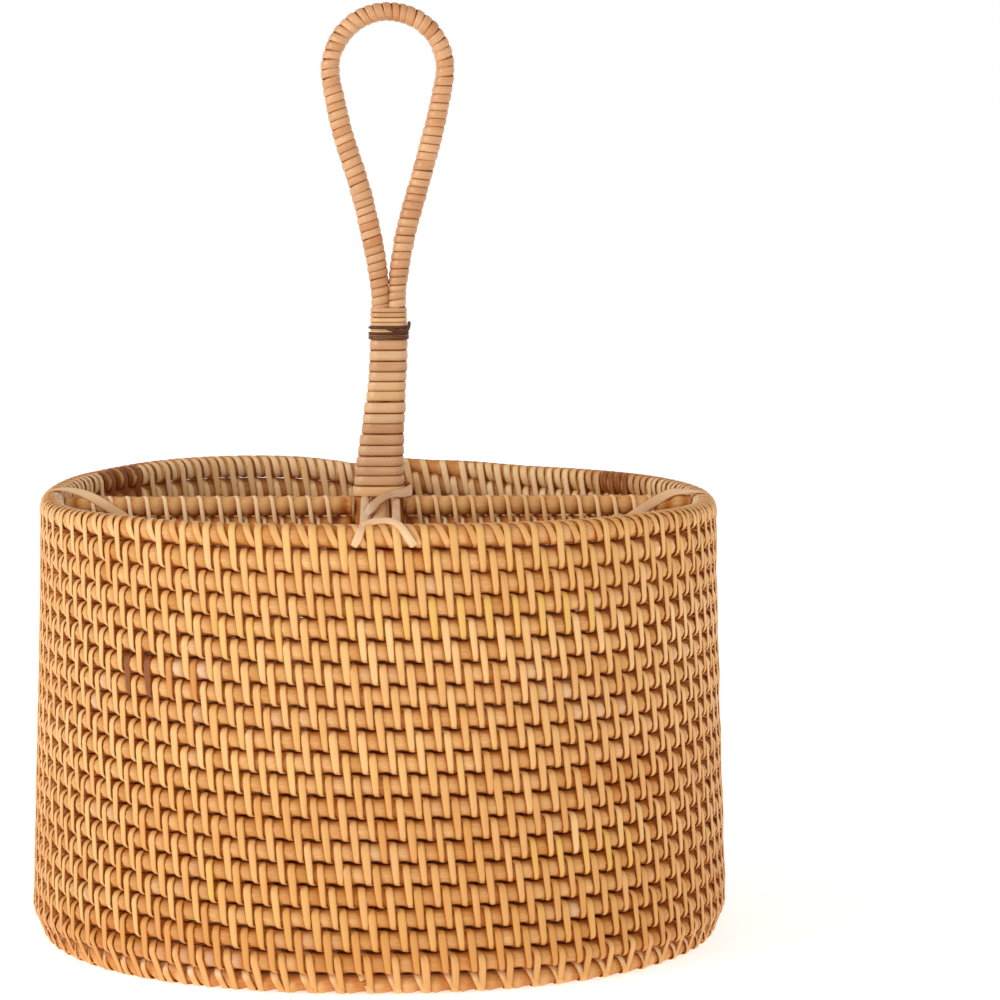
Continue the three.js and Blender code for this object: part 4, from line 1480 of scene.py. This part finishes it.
def floor_material():
    """Light table: a matt white sheet lit evenly from below, so that it stays white far away."""
    made = bpy.data.materials.new("light_table")
    made.use_nodes = True
    tree = made.node_tree
    place = add(tree, "ShaderNodeTexCoord").outputs["Object"]
    cloud = add(tree, "ShaderNodeTexNoise", inputs={"Vector": place, "Scale": 4.0}).outputs["Fac"]
    whites = {0: cloud, 6: (*linear("#E4E2E0"), 1), 7: (*linear("#EAE9E7"), 1)}
    shade = add(tree, "ShaderNodeMix", COLOUR_MIX, whites).outputs[2]
    shader = tree.nodes["Principled BSDF"]
    tree.links.new(shade, shader.inputs["Base Color"])
    shader.inputs["Roughness"].default_value = 0.9
    shader.inputs["Emission Color"].default_value = (1, 1, 1, 1)
    shader.inputs["Emission Strength"].default_value = 0.62
    return made


class HOLDER_OT_stage(bpy.types.Operator):
    """Make the pale floor, the soft light and the camera"""

    bl_idname = "holder.stage"
    bl_label = "Stage"

    def execute(self, context):
        scene = context.scene
        data = bpy.data.cameras.new("camera")
        data.sensor_width = 36
        data.lens = PICTURE_FOCUS / PICTURE_SIDE * data.sensor_width
        data.clip_end = 100
        camera = bpy.data.objects.new("camera", data)
        yaw = math.atan((PICTURE_SIDE / 2 - HOLDER_AXIS) / PICTURE_FOCUS)
        tilt = Matrix.Rotation(math.radians(90 - CAMERA_PITCH), 4, "X")
        turned = Matrix.Rotation(-yaw, 4, "Z") @ tilt
        camera.matrix_world = Matrix.Translation((0, -CAMERA_DISTANCE, CAMERA_HEIGHT)) @ turned
        scene.collection.objects.link(camera)
        scene.camera = camera

        mesh = bpy.data.meshes.new("floor")
        rim = [(*corner, 0) for corner in FLOOR_RADIUS * round_section(FLOOR_CORNERS)]
        mesh.from_pydata(rim, [], [list(range(FLOOR_CORNERS))])
        mesh.materials.append(floor_material())
        floor = bpy.data.objects.new("floor", mesh)
        scene.collection.objects.link(floor)

        world = bpy.data.worlds.new("studio")
        world.use_nodes = True
        tree = world.node_tree
        direction = add(tree, "ShaderNodeTexCoord").outputs["Generated"]
        height = add(tree, "ShaderNodeSeparateXYZ", inputs={"Vector": direction}).outputs["Z"]
        dimming = dict(zip(RANGE_INPUTS, (height, 0.03, 0.42, 1.0, 0.52)))
        strength = add(tree, "ShaderNodeMapRange", {"clamp": True}, dimming).outputs["Result"]
        tree.links.new(strength, tree.nodes["Background"].inputs["Strength"])
        tree.nodes["Background"].inputs["Color"].default_value = (*linear("#FFFFFF"), 1)
        scene.world = world
        target = (0, 0, 0.1)
        softbox("key_light", (-1.8, -1.15, 0.95), target, 1.3, 23.5, "#FFFDF8")
        softbox("fill_light", (1.6, -1.5, 0.9), target, 1.4, 5, "#FFE8CC")
        scene.view_settings.view_transform = "Standard"
        return {"FINISHED"}


class HOLDER_PT_panel(bpy.types.Panel):
    """Settings and makers of the cutlery holder"""

    bl_label = "Cutlery Holder"
    bl_idname = "HOLDER_PT_panel"
    bl_space_type = "VIEW_3D"
    bl_region_type = "UI"
    bl_category = "Holder"

    def draw(self, context):
        for group_name in GROUPS:
            group = getattr(settings(), group_name)
            box = self.layout.box()
            box.label(text=group_name.capitalize())
            for key in group.__annotations__:
                box.prop(group, key)
        for operator in OPERATORS:
            self.layout.operator(operator.bl_idname)


GROUPS = ("coil", "stitch", "divider", "handle", "tie", "finish")
OPERATORS = (
    HOLDER_OT_core,
    HOLDER_OT_stitches,
    HOLDER_OT_dividers,
    HOLDER_OT_handle,
    HOLDER_OT_ties,
    HOLDER_OT_stage,
)
CLASSES = (
    CoilSettings,
    StitchSettings,
    DividerSettings,
    HandleSettings,
    TieSettings,
    FinishSettings,
    HolderSettings,
    *OPERATORS,
    HOLDER_PT_panel,
)


def register():
    for cls in CLASSES:
        bpy.utils.register_class(cls)
    bpy.types.Scene.cutlery_holder = PointerProperty(type=HolderSettings)


def unregister():
    del bpy.types.Scene.cutlery_holder
    for cls in reversed(CLASSES):
        bpy.utils.unregister_class(cls)


def main():
    register()
    bpy.ops.holder.core()
    bpy.ops.holder.stitches()
    bpy.ops.holder.dividers()
    bpy.ops.holder.handle()
    bpy.ops.holder.ties()
    bpy.ops.holder.stage()
    bpy.context.view_layer.update()


if __name__ == "__main__":
    main()
